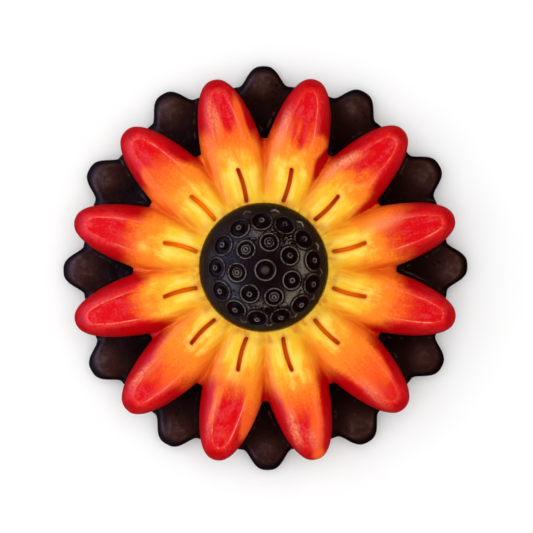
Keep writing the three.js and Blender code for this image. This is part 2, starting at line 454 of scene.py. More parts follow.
@dataclass(frozen=True)
class BackGlaze:
    """Near-black brown glaze, thinner and browner on the raised spots, with tan brush marks on them that
    also serve as a painted highlight.

    Beside the petals thin pale lines are painted as a reflection, line_place millimetres off their edges.
    """

    dark: Colour = (0.0035, 0.0007, 0.0006)
    brown: Colour = (0.0350, 0.0118, 0.0092)
    tan: Colour = (0.1050, 0.0750, 0.0560)
    clouds: Speckle = Speckle((0.12, 0.12, 0.12), detail=3.0)
    grain: Speckle = Speckle((0.7, 0.7, 0.7), detail=3.0, roughness=0.6)
    brush: Speckle = Speckle((0.45, 0.6, 0.5))
    mark_strength: float = 0.26
    line_place: float = 1.5
    line_width: float = 0.42
    line_strength: float = 0.4
    roughness: float = 0.36
    rim_roughness: float = 0.5
    roughness_range: Span = (0.22, 0.95)
    relief_depth: float = 0.25
    coat: Coat = Coat(weight=0.1, roughness=0.3, index=1.32)

    def make(self, petals: "PetalLayer") -> bpy.types.Material:
        """Builds the material.

        Args:
            petals: The petals above, beside whose edges the pale lines run.

        Returns:
            The material.
        """
        graph = Graph("back_glaze")
        x, y, z = graph.place()
        clouds = graph.speckle(self.clouds, x, y, z)
        grain = graph.speckle(self.grain, x, y, z)
        brush = graph.speckle(self.brush, x, y, z)

        bare = graph.attribute("thin_glaze_and_painted_light")
        thin = bare * (clouds * 0.5 + grain * 0.28 + 1.0)
        colour = graph.blend(thin, self.dark, self.brown)
        # Tan brush marks on the bulbs, partly a painted highlight.
        marks = (bare + brush * 0.6 + clouds * 0.4).ramp(0.8, 1.5) * self.mark_strength
        colour = graph.blend(marks, colour, self.tan)

        # Painted reflection: thin pale lines beside the petals' edges.
        _, along, across = petals.place_on_petal(graph)
        off_edge = abs(across) - petals.half_width_along(along)
        line = 1.0 - abs(off_edge - self.line_place + grain * 0.3).ramp(0.0, self.line_width)
        broken = (brush * 1.4 + clouds * 1.2).ramp(0.1, 0.9) * self.line_strength
        colour = graph.blend(line * broken, colour, self.tan)

        rim = graph.attribute("rim") * self.rim_roughness
        roughness = clouds * 0.10 + grain * 0.06 + rim + self.roughness
        direction = graph.relief(clouds * 0.8 + grain * 0.2, self.relief_depth)
        return graph.finish(colour, roughness.within(*self.roughness_range), direction, self.coat)


@dataclass(frozen=True)
class DomeGlaze:
    """Near-black glaze, pale on the rims of the stamps from wear and a painted highlight, and brushed over
    between them.

    The brushed glaze is tan on the right and turns on the left to a blue-grey painted reflection of the
    window, across the span given for that side, in millimetres to the left of the middle.
    """

    dark: Colour = (0.0055, 0.0016, 0.0014)
    # Pale of the stamps' rims: wear and a painted highlight.
    worn_and_lit: Colour = (0.210, 0.180, 0.165)
    tan: Colour = (0.135, 0.115, 0.083)
    slate_sheen: Colour = (0.068, 0.068, 0.080)
    button: Colour = (0.050, 0.032, 0.032)
    clouds: Speckle = Speckle((0.16, 0.16, 0.16))
    grain: Speckle = Speckle((1.3, 1.3, 1.3), detail=4.0, roughness=0.65)
    slate_sheen_side: Span = (-2.0, 9.0)
    roughness: float = 0.36
    matt_roughness: float = 0.5
    roughness_range: Span = (0.2, 0.95)
    relief_depth: float = 0.05
    coat: Coat = Coat(weight=0.08, roughness=0.25, index=1.23)

    def make(self) -> bpy.types.Material:
        """Builds the material."""
        graph = Graph("dome_glaze")
        x, y, z = graph.place()
        clouds = graph.speckle(self.clouds, x, y, z)
        grain = graph.speckle(self.grain, x, y, z)

        # Painted reflection: the brushing turns blue-grey on the left, where the window would show.
        brush = graph.blend((x * -1.0).ramp(*self.slate_sheen_side), self.tan, self.slate_sheen)
        brushed = graph.attribute("between_stamps") * (clouds * 1.2 + grain * 0.9 + 0.62).ramp(0.0, 1.0)
        colour = graph.blend(brushed, self.dark, brush)
        # Pale rims of the stamps, wear and painted highlight, with the cusps' painted highlights in the same
        # mark.
        rubbed_and_lit = graph.attribute("rim") * (grain * 0.7 + clouds * 0.7 + 0.75).ramp(0.0, 1.1)
        colour = graph.blend(rubbed_and_lit, colour, self.worn_and_lit)
        colour = graph.blend(graph.attribute("button") * (grain * 0.5 + 0.9), colour, self.button)

        matt = graph.attribute("matt") * self.matt_roughness
        roughness = grain * 0.25 + clouds * 0.2 + matt + self.roughness
        direction = graph.relief(grain, self.relief_depth)
        return graph.finish(colour, roughness.within(*self.roughness_range), direction, self.coat)


@dataclass(frozen=True)
class GroovePaint:
    """The rust-brown paint in the engraved grooves, darker at both ends and redder at the outer one.

    The stain's edge is in millimetres from the groove's middle line, and the floor and the wall are in
    widths of the groove. The two ends are shares of its length.
    """

    rust: Colour = (0.520, 0.058, 0.001)
    light_rust: Colour = (0.930, 0.200, 0.002)
    red_rust: Colour = (0.400, 0.010, 0.001)
    brown_rust: Colour = (0.290, 0.028, 0.001)
    stain: Colour = (0.640, 0.200, 0.008)
    stain_edge: Span = (0.7, 1.9)
    stain_strength: float = 0.6
    floor: Span = (0.38, 0.72)
    wall: Span = (0.15, 0.5)
    wall_strength: float = 0.4
    brown_end: Span = (0.0, 0.3)
    red_end: Span = (0.45, 1.0)


@dataclass(frozen=True)
class PetalSurface:
    """What the petals' paint reads at each point: its place on its petal, and four brush patterns."""

    graph: Graph
    along: Signal
    across: Signal
    sideways: Signal
    beyond_crest: Signal
    streaks: Signal
    clouds: Signal
    mottles: Signal
    washes: Signal


@dataclass(frozen=True)
class PetalGlaze:
    """Yellow at the root, orange, then red to the tip, brushed on by hand under a clear glaze.

    Spans are millimetres along the petal, or outwards from the edge of its dish for the flank. Sides are
    shares of the way from its middle line to its flank.
    """

    yellow: Colour = (0.860, 0.480, 0.026)
    wash_and_highlight_yellow: Colour = (0.880, 0.600, 0.100)
    orange: Colour = (0.860, 0.210, 0.016)
    vermilion: Colour = (0.820, 0.095, 0.014)
    crease_orange: Colour = (0.760, 0.235, 0.010)
    crease_red: Colour = (0.660, 0.072, 0.004)
    root_smudge_and_shade: Colour = (0.680, 0.265, 0.022)
    red: Colour = (0.600, 0.003, 0.006)
    rosy_red: Colour = (0.640, 0.030, 0.034)
    crimson: Colour = (0.390, 0.0002, 0.002)
    salmon_sheen: Colour = (0.860, 0.260, 0.130)
    groove: GroovePaint = GroovePaint()
    streaks: Speckle = Speckle((0.85, 0.10, 7.3), detail=3.0)
    clouds: Speckle = Speckle((0.22, 0.20, 3.1))
    mottles: Speckle = Speckle((1.3, 1.0, 1.7), detail=4.0)
    washes: Speckle = Speckle((0.45, 0.09, 5.9), detail=3.0)
    yellow_side: Span = (0.2, 0.6)
    orange_side: Span = (0.3, 0.8)
    orange_advance: float = 6.0
    orange_fade: float = 7.0
    vermilion_span: Span = (41.0, 55.0)
    crease_span: Span = (28.0, 43.0)
    root_span: Span = (24.0, 28.5)
    flank_span: Span = (0.3, 2.3)
    # The edge of the dish is lightened: thin glaze and a painted highlight.
    crest_strength: float = 0.08
    glint_inset: float = 0.2
    glint_width: float = 0.42
    roughness: float = 0.34
    least_roughness: float = 0.2
    relief_depth: float = 0.025
    coat: Coat = Coat(weight=0.12, roughness=0.24, index=1.27)

    def make(self, petals: "PetalLayer") -> bpy.types.Material:
        """Builds the material.

        Args:
            petals: The layer that is painted, for the shape that the paint follows.

        Returns:
            The material.
        """
        graph = Graph("petal_glaze")
        spot = self.read(graph, petals)
        colour = self.yellows(spot)
        colour = self.with_orange(spot, colour, petals.orange_start)
        colour = self.with_creases_and_root(spot, colour)
        colour = self.with_reds(spot, colour)
        colour = self.with_salmon(spot, colour)
        colour = self.with_groove(spot, colour, petals.groove)
        roughness = spot.mottles * 0.06 + spot.streaks * 0.05 + self.roughness
        direction = graph.relief(spot.streaks * 0.5 + spot.mottles * 0.5, self.relief_depth)
        return graph.finish(colour, roughness.at_least(self.least_roughness), direction, self.coat)

    def read(self, graph: Graph, petals: "PetalLayer") -> PetalSurface:
        """Gathers what the paint reads at each point.

        Args:
            graph: The material's graph.
            petals: The layer that is painted.

        Returns:
            The point's place on its petal and the brush patterns there.
        """
        petal, along, across = petals.place_on_petal(graph)
        half_width = petals.half_width_along(along).at_least(TINY)
        return PetalSurface(
            graph=graph,
            along=along,
            across=across,
            sideways=(abs(across) / half_width).at_most(1),
            beyond_crest=self.from_crest(along, across, petals),
            streaks=graph.speckle(self.streaks, across, along, petal),
            clouds=graph.speckle(self.clouds, across, along, petal),
            mottles=graph.speckle(self.mottles, across, along, petal),
            washes=graph.speckle(self.washes, across, along, petal),
        )

    def from_crest(self, along: Signal, across: Signal, petals: "PetalLayer") -> Signal:
        """How far outside the rounded edge round the dish a point lies, in millimetres.

        Args:
            along: How far along the petal the point lies.
            across: How far across the petal it lies.
            petals: The layer that is painted.

        Returns:
            The distance, below 0 inside the dish.
        """
        power, length = petals.crest_bluntness, petals.crest_reach - petals.widest_at
        share = ((along - petals.widest_at) / length).at_least(0)
        side = (abs(across) / petals.crest_half_width).at_least(TINY)
        slope_across = side ** (power - 1) * (power / petals.crest_half_width)
        slope_along = share * (2 / length)
        slope = (slope_across * slope_across + slope_along * slope_along) ** 0.5
        return (side**power + share * share - 1.0) / slope.at_least(TINY)

    def yellows(self, spot: PetalSurface) -> Signal:
        """The yellow ground, paler in washes along the petal's middle: partly brushwork and partly a painted
        highlight where the top faces up.
        """
        # Paler washes along the middle, brushwork and painted highlight; less of it towards the flanks.
        pale = spot.washes * 1.1 + spot.streaks * 0.3 + spot.clouds * 0.5 + 0.4
        pale = pale - spot.sideways.ramp(*self.yellow_side) * 0.7
        return spot.graph.blend(pale.ramp(-0.3, 1.0), self.yellow, self.wash_and_highlight_yellow)

    def with_orange(self, spot: PetalSurface, colour: Signal, start: float) -> Signal:
        """Adds the orange, which comes nearer to the root along the petal's sides.

        Args:
            spot: What the paint reads at a point.
            colour: The paint below.
            start: Where along the petal the yellow is half orange.

        Returns:
            The paint with the orange over it.
        """
        redder = (spot.along + spot.mottles * 5.0 + spot.streaks * 2.0).ramp(*self.vermilion_span)
        oranges = spot.graph.blend(redder, self.orange, self.vermilion)
        uneven = spot.clouds * 4.5 + spot.streaks * 1.4 + spot.washes * 1.8 + spot.mottles * 2.4
        advance = spot.sideways.ramp(*self.orange_side) * self.orange_advance
        past = spot.along - (uneven + start + spot.graph.attribute("orange_shift") - advance)
        return spot.graph.blend(past.ramp(-self.orange_fade, self.orange_fade), colour, oranges)

    def with_creases_and_root(self, spot: PetalSurface, colour: Signal) -> Signal:
        """Adds the deeper paint that has gathered between the petals, and the brownish ring round the dome:
        smudges and painted shade from the dome.

        Args:
            spot: What the paint reads at a point.
            colour: The paint below.

        Returns:
            The paint with the deeper one over it.
        """
        deep = spot.graph.blend(spot.along.ramp(*self.crease_span), self.crease_orange, self.crease_red)
        gathered = spot.graph.attribute("crease") * (spot.streaks * 0.6 + 0.9)
        colour = spot.graph.blend(gathered, colour, deep)
        # Painted shade round the dome's foot, with brownish smudges in it.
        root = (1.0 - spot.along.ramp(*self.root_span)) * (spot.washes * 0.9 + spot.clouds * 1.2 + 0.5)
        return spot.graph.blend(root, colour, self.root_smudge_and_shade)

    def with_reds(self, spot: PetalSurface, colour: Signal) -> Signal:
        """Adds the red towards the tip, rosy in the dish and crimson down the flanks.

        Args:
            spot: What the paint reads at a point.
            colour: The paint below.

        Returns:
            The paint with the reds over it.
        """
        flank = (spot.beyond_crest + spot.clouds * 0.5).ramp(*self.flank_span)
        uneven = spot.streaks * 0.2 + spot.mottles * 0.35 + spot.clouds * 0.45
        redness = spot.graph.attribute("redness") + uneven * (1.0 - flank * 0.7)
        rosy = (spot.washes * 0.8 + spot.mottles * 0.9 + spot.clouds * 0.6 + 0.25).ramp(0.0, 1.1)
        reds = spot.graph.blend(flank, spot.graph.blend(rosy, self.red, self.rosy_red), self.crimson)
        return spot.graph.blend(redness.ramp(-1.0, 1.0 - flank * 0.25), colour, reds)

    def with_salmon(self, spot: PetalSurface, colour: Signal) -> Signal:
        """Adds the pale strokes, a painted sheen of light, the edge of the dish lightened as thin glaze and
        painted highlight, and the painted highlight line along it.

        Args:
            spot: What the paint reads at a point.
            colour: The paint below.

        Returns:
            The paint with the pale one over it.
        """
        # Painted sheen: pale pink strokes where window light glances off the petal.
        strokes = spot.graph.attribute("salmon_sheen") * (spot.mottles * 0.8 + spot.streaks * 0.5 + 0.8)
        colour = spot.graph.blend(strokes, colour, self.salmon_sheen)
        # The dish's edge lightened: thin glaze and a painted highlight.
        crest = spot.graph.attribute("crest") * (spot.streaks * 0.6 + spot.clouds * 0.4 + 0.7)
        colour = spot.graph.blend(crest * self.crest_strength, colour, self.salmon_sheen)
        # Painted highlight line along the edge of the dish.
        line = 1.0 - abs(spot.beyond_crest + self.glint_inset).ramp(0.0, self.glint_width)
        line = line * spot.graph.attribute("glint") * (spot.streaks * 0.8 + spot.mottles * 0.5 + 0.6)
        return spot.graph.blend(line, colour, self.salmon_sheen)

    def with_groove(self, spot: PetalSurface, colour: Signal, groove: "Groove") -> Signal:
        """Adds the groove's paint.

        Args:
            spot: What the paint reads at a point.
            colour: The paint below.
            groove: The groove.

        Returns:
            The paint with the groove's over it.
        """
        graph, half = spot.graph, groove.width / 2
        share = ((spot.along - groove.start) / (groove.end - groove.start)).within(0, 1)
        beside = spot.across + graph.math("SINE", share * math.pi) * groove.bow + groove.aside
        ends = (spot.along - groove.end + half).at_least(groove.start + half - spot.along)
        beyond = ends.at_least(0)
        distance = (beside * beside + beyond * beyond) ** 0.5
        stain = (1.0 - distance.ramp(*self.groove.stain_edge)) * self.groove.stain_strength
        colour = graph.blend(stain, colour, self.groove.stain)

        tone = graph.attribute("groove_tone")
        paint = graph.blend(tone, self.groove.rust, self.groove.light_rust)
        deep = 1.0 - tone * 0.5
        wall = distance.ramp(*groove.widths(self.groove.wall)) * self.groove.wall_strength
        red = share.ramp(*self.groove.red_end).at_least(wall) * deep
        paint = graph.blend(red, paint, self.groove.red_rust)
        brown = (1.0 - share.ramp(*self.groove.brown_end)) * deep
        paint = graph.blend(brown, paint, self.groove.brown_rust)
        inside = 1.0 - distance.ramp(*groove.widths(self.groove.floor))
        return graph.blend(inside, colour, paint)


@dataclass
class BackLayer:
    """The dark layer at the back, with twelve lobes that show between the petals.

    Each lobe has a soft bulb near its tip. Along the rim the colour is kept dark as painted shade, and on
    the shoulder just inside it a painted highlight is drawn: the rim's span and the shoulder's inset are
    distances inwards from the outline, and the other spans are distances from the middle.
    """

    node: str = "back_layer"
    slot: str = "back_glaze"
    lobe_reach: float = 74.95
    valley_reach: float = 67.9
    lobe_half_angle: float = 7.7 * DEGREE
    lobe_fullness: float = 1.45
    turn: float = 0.65 * DEGREE
    flat_radius: float = 46.0
    flat_radii: tuple[float, ...] = (30.0, 15.0, 0.0)
    sole_radii: tuple[float, ...] = (0.0, 18.0, 36.0)
    foot_radius: float = 54.0
    foot_fullness: float = 3.0
    edge_z: float = 4.25
    edge_rounding: float = 4.4
    droop: float = 0.8
    valley_dip: float = 0.9
    bulb_reach: float = 67.5
    bulb_height: float = 0.75
    bulb_radius: float = 6.0
    thin_radius: float = 8.0
    thin_span: Span = (50.0, 69.0)
    thin_range: Span = (0.35, 1.1)
    rim_span: Span = (0.9, 3.6)
    rim_shade: float = 0.92
    shoulder_inset: float = 3.4
    shoulder_width: float = 0.9
    shoulder_span: Span = (65.0, 69.5)
    shoulder_strength: float = 0.35
    unevenness: float = 0.14
    wave_length: float = 5.5
    wave_seed: float = 3.5
    segments: int = 720
    edge_rings: int = 30
    foot_rings: int = 9

    def __post_init__(self) -> None:
        """Takes the height of the flat middle, where the petals sit, from the frame."""
        self.seat_z = underside_of("petal_layer")

    def reach(self, angle: float) -> float:
        """Distance from the middle to the outline: round lobes with flat valleys between them."""
        off = min(abs(angle_in_sector(angle - self.turn)) / self.lobe_half_angle, 1.0)
        lobe = (1 + math.cos(math.pi * off**self.lobe_fullness)) / 2
        return between(self.valley_reach, self.lobe_reach, lobe)

    def bulb(self, radius: float, angle: float, spread: float) -> float:
        """How near a place lies to the middle of a bulb: 1 there, and 0 from spread millimetres away."""
        off = angle_in_sector(angle - self.turn)
        away = math.hypot(radius * math.cos(off) - self.bulb_reach, radius * math.sin(off))
        return 1 - smooth_ramp(away, 0, spread)

    def rim(self, radius: float, angle: float) -> float:
        """How near a place lies to the outline, from 0 to 1, where the colour is kept dark as painted shade.
        """
        return 1 - smooth_ramp(self.reach(angle) - radius, *self.rim_span)

    def glaze_and_painted_light(self, radius: float, angle: float) -> float:
        """How thin the glaze lies at a place: thick and dark by the petals, thin on the bulbs, with painted
        shade along the rim and a painted highlight on the shoulder.
        """
        bulb = self.bulb(radius, angle, self.thin_radius)
        thin = smooth_ramp(radius, *self.thin_span) * between(*self.thin_range, bulb)
        # Painted highlight: a pale crescent on the shoulder just inside the rim.
        shoulder = bell(self.reach(angle) - radius, self.shoulder_inset, self.shoulder_width)
        shoulder *= self.shoulder_strength * smooth_ramp(radius, *self.shoulder_span)
        # Painted shade: the colour along the rim is kept dark.
        return thin * (1 - self.rim_shade * self.rim(radius, angle)) + shoulder

    def top(self, radius: float, angle: float) -> float:
        """Height of the upper face.

        Args:
            radius: Distance from the middle.
            angle: Direction from the middle.

        Returns:
            The height above the surface that the flower lies on.
        """
        off = abs(angle_in_sector(angle - self.turn))
        outwards = smooth_ramp(radius, self.flat_radius, self.valley_reach - self.edge_rounding)
        valley = self.valley_dip * smooth_ramp(off, 0, SECTOR / 2)
        wave = hand_wave(place_at(radius, angle), self.wave_length, self.wave_seed)
        wave *= self.unevenness * outwards
        bulb = self.bulb_height * self.bulb(radius, angle, self.bulb_radius)
        crown = self.seat_z - outwards * (self.droop + valley) + bulb + wave
        from_edge = min(max((self.reach(angle) - radius) / self.edge_rounding, 0.0), 1.0)
        return self.edge_z + (crown - self.edge_z) * math.sqrt(1 - (1 - from_edge) ** 2)

    def rings(self) -> list[Ring]:
        """The rings of points from the middle of the underside round the edge to the middle of the top."""

        def foot(step: int) -> Ring:
            """A ring of the rounded underside."""
            bend = math.pi / 2 * step / self.foot_rings
            out = math.sin(bend) ** (2 / self.foot_fullness)
            up = 1 - max(math.cos(bend), 0.0) ** (2 / self.foot_fullness)
            return lambda angle: (between(self.foot_radius, self.reach(angle), out), self.edge_z * up)

        def upper(share: float) -> Ring:
            """A ring of the upper face."""

            def at(angle: float) -> tuple[float, float]:
                """The ring's radius and height at an angle."""
                radius = between(self.flat_radius, self.reach(angle), share)
                return radius, self.top(radius, angle)

            return at

        flats = [lambda angle, radius=radius: (radius, self.seat_z) for radius in self.flat_radii]
        soles = [lambda angle, radius=radius: (radius, 0.0) for radius in self.sole_radii]
        feet = [foot(step) for step in range(self.foot_rings)]
        tops = [upper(share) for share in reversed(piled_outwards(self.edge_rings))]
        return soles + feet + tops + flats

    def build(self) -> bpy.types.Object:
        """Models the layer.

        Returns:
            The new object.
        """
        rings = self.rings()

        def place(ring: int, segment: int) -> Vector:
            """The place of one point."""
            angle = FULL_TURN * segment / self.segments
            radius, z = rings[ring](angle)
            return place_at(radius, angle, z)

        piece = as_piece("back", wrapped_disc(len(rings), self.segments, place))
        spots = [point.co.xy / MILLIMETRE for point in piece.data.vertices]
        places = [(spot.length, math.atan2(spot.y, spot.x)) for spot in spots]
        # The glaze's thinness, with the painted rim shade and shoulder highlight in it.
        write_numbers(piece, "thin_glaze_and_painted_light", [self.glaze_and_painted_light(*place) for place in places])
        write_numbers(piece, "rim", [self.rim(*place) for place in places])
        return piece

    def dress(self, piece: bpy.types.Object) -> None:
        """Glazes the layer and says which solid it stands for."""
        finish_piece(piece, BackGlaze().make(PetalLayer()), self.node)


@dataclass(frozen=True)
class Groove:
    """The engraved groove on each petal, a little aside of its middle line and bowed.

    Its wall stands between the two distances of wall, in widths of the groove from its middle line.
    """

    start: float = 25.4
    end: float = 38.4
    width: float = 1.4
    depth: float = 0.9
    bow: float = 0.5
    aside: float = 0.12
    wall: Span = (0.30, 0.56)

    def widths(self, span: Span) -> Span:
        """A span given in widths of the groove, in millimetres."""
        return span[0] * self.width, span[1] * self.width

    def shift(self, along: float) -> float:
        """How far the groove's middle line lies to the right of the petal's."""
        share = min(max((along - self.start) / (self.end - self.start), 0.0), 1.0)
        return self.aside + self.bow * math.sin(math.pi * share)

    def distance(self, along: float, across: float) -> float:
        """Distance from the groove's middle line, which its ends are rounded about."""
        beside = across + self.shift(along)
        half = self.width / 2
        beyond = max(along - self.end + half, self.start + half - along, 0.0)
        return math.hypot(beside, beyond)

    def cut(self, along: float, across: float) -> float:
        """How deep the groove is cut at a place."""
        return self.depth * (1 - smooth_ramp(self.distance(along, across), *self.widths(self.wall)))


@dataclass(frozen=True)
class Brushwork:
    """How far from the flower's middle the red of one petal begins, and how softly it fades in.

    Left and right are the petal's two flanks as it is seen with its tip up. Away from the middle line a
    flank's own start takes over across side, in shares of the way to the flank, and it lies flank_advance
    further in than its number. The glints are how bright the painted highlight along the edge of the dish is
    on the left and on the right. Orange is how much further out than usual the yellow turns orange, and
    groove how light the groove's rust is, from 0 to 1.
    """

    left: float
    middle: float
    right: float
    fade: float
    glints: Span
    orange: float
    groove: float
    side: Span = (0.3, 0.8)
    flank_advance: float = 1.0

    def red_start(self, sideways: float) -> float:
        """Where the red begins at a place across the petal, from -1 on the right edge to 1 on the left."""
        flank = self.left if sideways > 0 else self.right
        return between(self.middle, flank - self.flank_advance, smooth_ramp(abs(sideways), *self.side))


class Paint(Enum):
    """What a single brush stroke leaves on a petal, and how much redder that makes it; the pale pink stroke
    is a painted sheen of light.
    """

    RED = 1.0
    ORANGE = -1.0
    SALMON_SHEEN = 0.0


@dataclass(frozen=True)
class Stroke:
    """A single brush stroke on a petal that is seen with its tip up.

    Its middle lies along millimetres from the flower's middle and across millimetres to the left of the
    petal's middle line. Lean is how far it shifts to the left for each millimetre towards the tip.
    """

    petal: int
    paint: Paint
    along: float
    across: float
    half_length: float
    half_width: float
    strength: float = 1.0
    lean: float = 0.0
    edge: Span = (0.1, 1.25)

    def cover(self, along: float, across: float) -> float:
        """How much of the stroke's paint covers a place, from 0 to its strength."""
        beyond = (along - self.along) / self.half_length
        beside = (across - self.across - self.lean * (along - self.along)) / self.half_width
        return self.strength * (1 - smooth_ramp(math.hypot(beyond, beside), *self.edge))


@dataclass
class PetalLayer:
    """Twelve puffy petals that share a web, each with a shallow dish, a crest round it and a groove.

    A rise is where something begins as one goes outwards from the flower's middle, and a fall where it
    ends. The brushwork goes round the flower petal by petal. The crease starts say where the red begins
    beside the creases on the left and on the right of each petal, as it is seen with its tip up.
    """

    node: str = "petal_layer"
    slot: str = "petal_glaze"
    reach: float = 72.3
    half_width: float = 11.85
    widest_at: float = 36.0
    bluntness: float = 2.3
    turn: float = 15.3 * DEGREE
    edge_height: float = 4.0
    crown: float = 8.0
    puff: float = 3.0
    tip_puff: float = 4.0
    notch_reach: float = 48.4
    web_crown: float = 5.0
    web_flatness: float = 8.0
    crease_softness: float = 1.2
    dish_depth: float = 0.7
    dish_wall: float = 1.5
    dish_rise: Span = (42.0, 52.0)
    dish_fall: Span = (60.0, 67.0)
    dish_loss: float = 0.5
    crest_reach: float = 67.5
    crest_half_width: float = 5.8
    crest_bluntness: float = 2.8
    crest_width: float = 0.55
    crest_inset: float = 0.1
    crease_depth: float = 0.45
    crease_width: float = 1.1
    crease_rise: Span = (25.0, 31.0)
    crease_fall: Span = (43.0, 48.0)
    under_share: float = 0.82
    web_ring_radius: float = 40.0
    root_ring_radius: float = 22.2
    root_rise: Span = (23.12, 23.6)
    unevenness: float = 0.12
    wave_length: float = 6.0
    wave_seed: float = 8.5
    wave_inset: float = 3.0
    orange_start: float = 39.6
    redness_range: Span = (-1.7, 1.35)
    crease_paint_widths: Span = (5.6, 4.1)
    crease_paint_rise: Span = (24.0, 30.0)
    crease_red_edge: Span = (0.5, 4.5)
    crease_red_fall: Span = (46.5, 51.0)
    crease_red_fade: float = 3.8
    glint_side: Span = (-2.0, 2.0)
    glint_rise: Span = (44.0, 52.0)
    glint_fall: Span = (62.5, 66.5)
    glint_loss: float = 0.6
    columns: int = 80
    fine_columns: tuple[float, ...] = (0, 0.22, 0.42, 0.55, 0.64, 0.72, 0.82, 1.0, 1.25)
    even_rise: Span = (40.0, 47.0)
    ring_counts: tuple[int, ...] = (14, 9, 15, 9, 4)
    groove_end_reach: float = 0.3
    edge_rings: int = 41
    under_rings: int = 8
    halvings: int = 40
    groove: Groove = Groove()
    brushwork: tuple[Brushwork, ...] = (
        Brushwork(57, 47, 53, 7.5, (0.2, 0.9), 0, 0.65),
        Brushwork(46, 54, 47.5, 4.5, (0.3, 0.7), 1, 0.05),
        Brushwork(52, 53, 50.5, 6.5, (0.2, 0.7), 1.5, 0),
        Brushwork(55, 54, 50, 3.5, (0.3, 0.5), 2, 0),
        Brushwork(53, 55.5, 47.5, 3.5, (0.1, 1.0), 0, 1),
        Brushwork(50.5, 51.5, 48, 5, (0.35, 0.6), 1.5, 0.9),
        Brushwork(42, 49, 42, 4.5, (0.6, 0.5), 2, 0.5),
        Brushwork(51, 57, 44, 8, (0.5, 0.4), -4, 0),
        Brushwork(60, 45, 44.5, 6, (0.6, 0.6), -0.5, 0.1),
        Brushwork(42.5, 55.5, 45, 6.5, (0.2, 0.3), 1.5, 0.15),
        Brushwork(46.5, 60, 44, 8, (0.2, 0.3), -3.5, 0.4),
        Brushwork(50, 53.5, 48, 6, (0.4, 0.9), 0.5, 0.6),
    )
    crease_starts: tuple[Span, ...] = (
        (48.0, 38.5),
        (45.0, 37.0),
        (46.5, 44.3),
        (48.5, 44.0),
        (48.5, 47.0),
        (50.0, 44.0),
        (37.8, 41.7),
        (45.5, 44.5),
        (41.5, 42.8),
        (41.5, 44.0),
        (45.0, 41.3),
        (48.0, 46.5),
    )
    # The pale pink strokes are a painted sheen of light; the red and orange ones are paint.
    strokes: tuple[Stroke, ...] = (
        Stroke(0, Paint.SALMON_SHEEN, 47, 5, 9, 2.8, 0.6),
        Stroke(1, Paint.SALMON_SHEEN, 50.5, 6.4, 6.5, 2.4, 0.75, lean=-0.25),
        Stroke(1, Paint.SALMON_SHEEN, 43.5, 8.2, 6, 2.4, 0.55),
        Stroke(1, Paint.RED, 50.5, 2.6, 9, 3.2, 1.5, lean=-0.45),
        Stroke(1, Paint.RED, 47, -1.0, 4, 3.4, 1.5),
        Stroke(2, Paint.SALMON_SHEEN, 51, 6.2, 9, 2.6, 0.6),
        Stroke(2, Paint.RED, 47.5, -0.5, 4.5, 3.8, 1.1),
        Stroke(2, Paint.RED, 52, -1.2, 8, 1.6, 0.8),
        Stroke(2, Paint.RED, 52, 2.4, 7, 1.0, 0.6),
        Stroke(2, Paint.ORANGE, 49, -7.6, 4.5, 3.2, 1.9),
        Stroke(2, Paint.RED, 41.5, -8.8, 6.5, 3.2, 1.0),
        Stroke(3, Paint.SALMON_SHEEN, 58, 3.5, 8, 2.8, 0.6),
        Stroke(3, Paint.RED, 59, -1.0, 9, 2.0, 2.0),
        Stroke(3, Paint.ORANGE, 57, -6.0, 11, 2.2, 2.8),
        Stroke(3, Paint.ORANGE, 58, 2.4, 7, 1.6, 1.1),
        Stroke(4, Paint.ORANGE, 54.5, 5.8, 5.5, 2.8, 2.1),
        Stroke(4, Paint.RED, 50, -1.5, 6, 5.0, 0.8),
        Stroke(7, Paint.RED, 61, 0, 6, 2.8, 0.5),
        Stroke(7, Paint.SALMON_SHEEN, 57, -4.8, 9, 2.0, 0.5),
        Stroke(8, Paint.ORANGE, 52, 8, 12, 3.0, 2.4),
        Stroke(8, Paint.ORANGE, 54, -4.9, 10, 2.0, 1.3),
        Stroke(8, Paint.SALMON_SHEEN, 54, -4.9, 10, 1.8, 0.5),
        Stroke(8, Paint.ORANGE, 62.5, 0.5, 2.2, 4.0, 0.9),
        Stroke(9, Paint.ORANGE, 60, 3.8, 14, 3.4, 1.7, lean=-0.22),
        Stroke(9, Paint.ORANGE, 71, 1.0, 4, 4.5, 1.7),
        Stroke(9, Paint.RED, 57, -1.5, 6, 3.5, 0.5),
        Stroke(9, Paint.SALMON_SHEEN, 57.5, -4.8, 9, 2.2, 0.65),
        Stroke(9, Paint.SALMON_SHEEN, 64, 1.0, 5, 3.5, 0.35),
        Stroke(10, Paint.ORANGE, 54, 5.5, 10, 2.8, 1.3),
        Stroke(10, Paint.SALMON_SHEEN, 59, -3.8, 9, 2.6, 0.45),
    )

    def __post_init__(self) -> None:
        """Takes the layer's middle and the heights of its seats from the frame."""
        self.middle = middle_of(self.node)
        self.seat_z = underside_of(self.node)
        self.edge_z = self.seat_z + self.edge_height
        self.dome_middle = middle_of("centre_dome")
        self.dome_seat_z = underside_of("centre_dome")

    def share_to_tip(self, along: float) -> float:
        """How far a place lies from the petal's widest part, 0, to its tip, 1."""
        return min(max((along - self.widest_at) / (self.reach - self.widest_at), 0.0), 1.0)

    def width_at(self, along: float) -> float:
        """Half the petal's width at a distance from the flower's middle."""
        return self.half_width * (1 - self.share_to_tip(along) ** 2) ** (1 / self.bluntness)

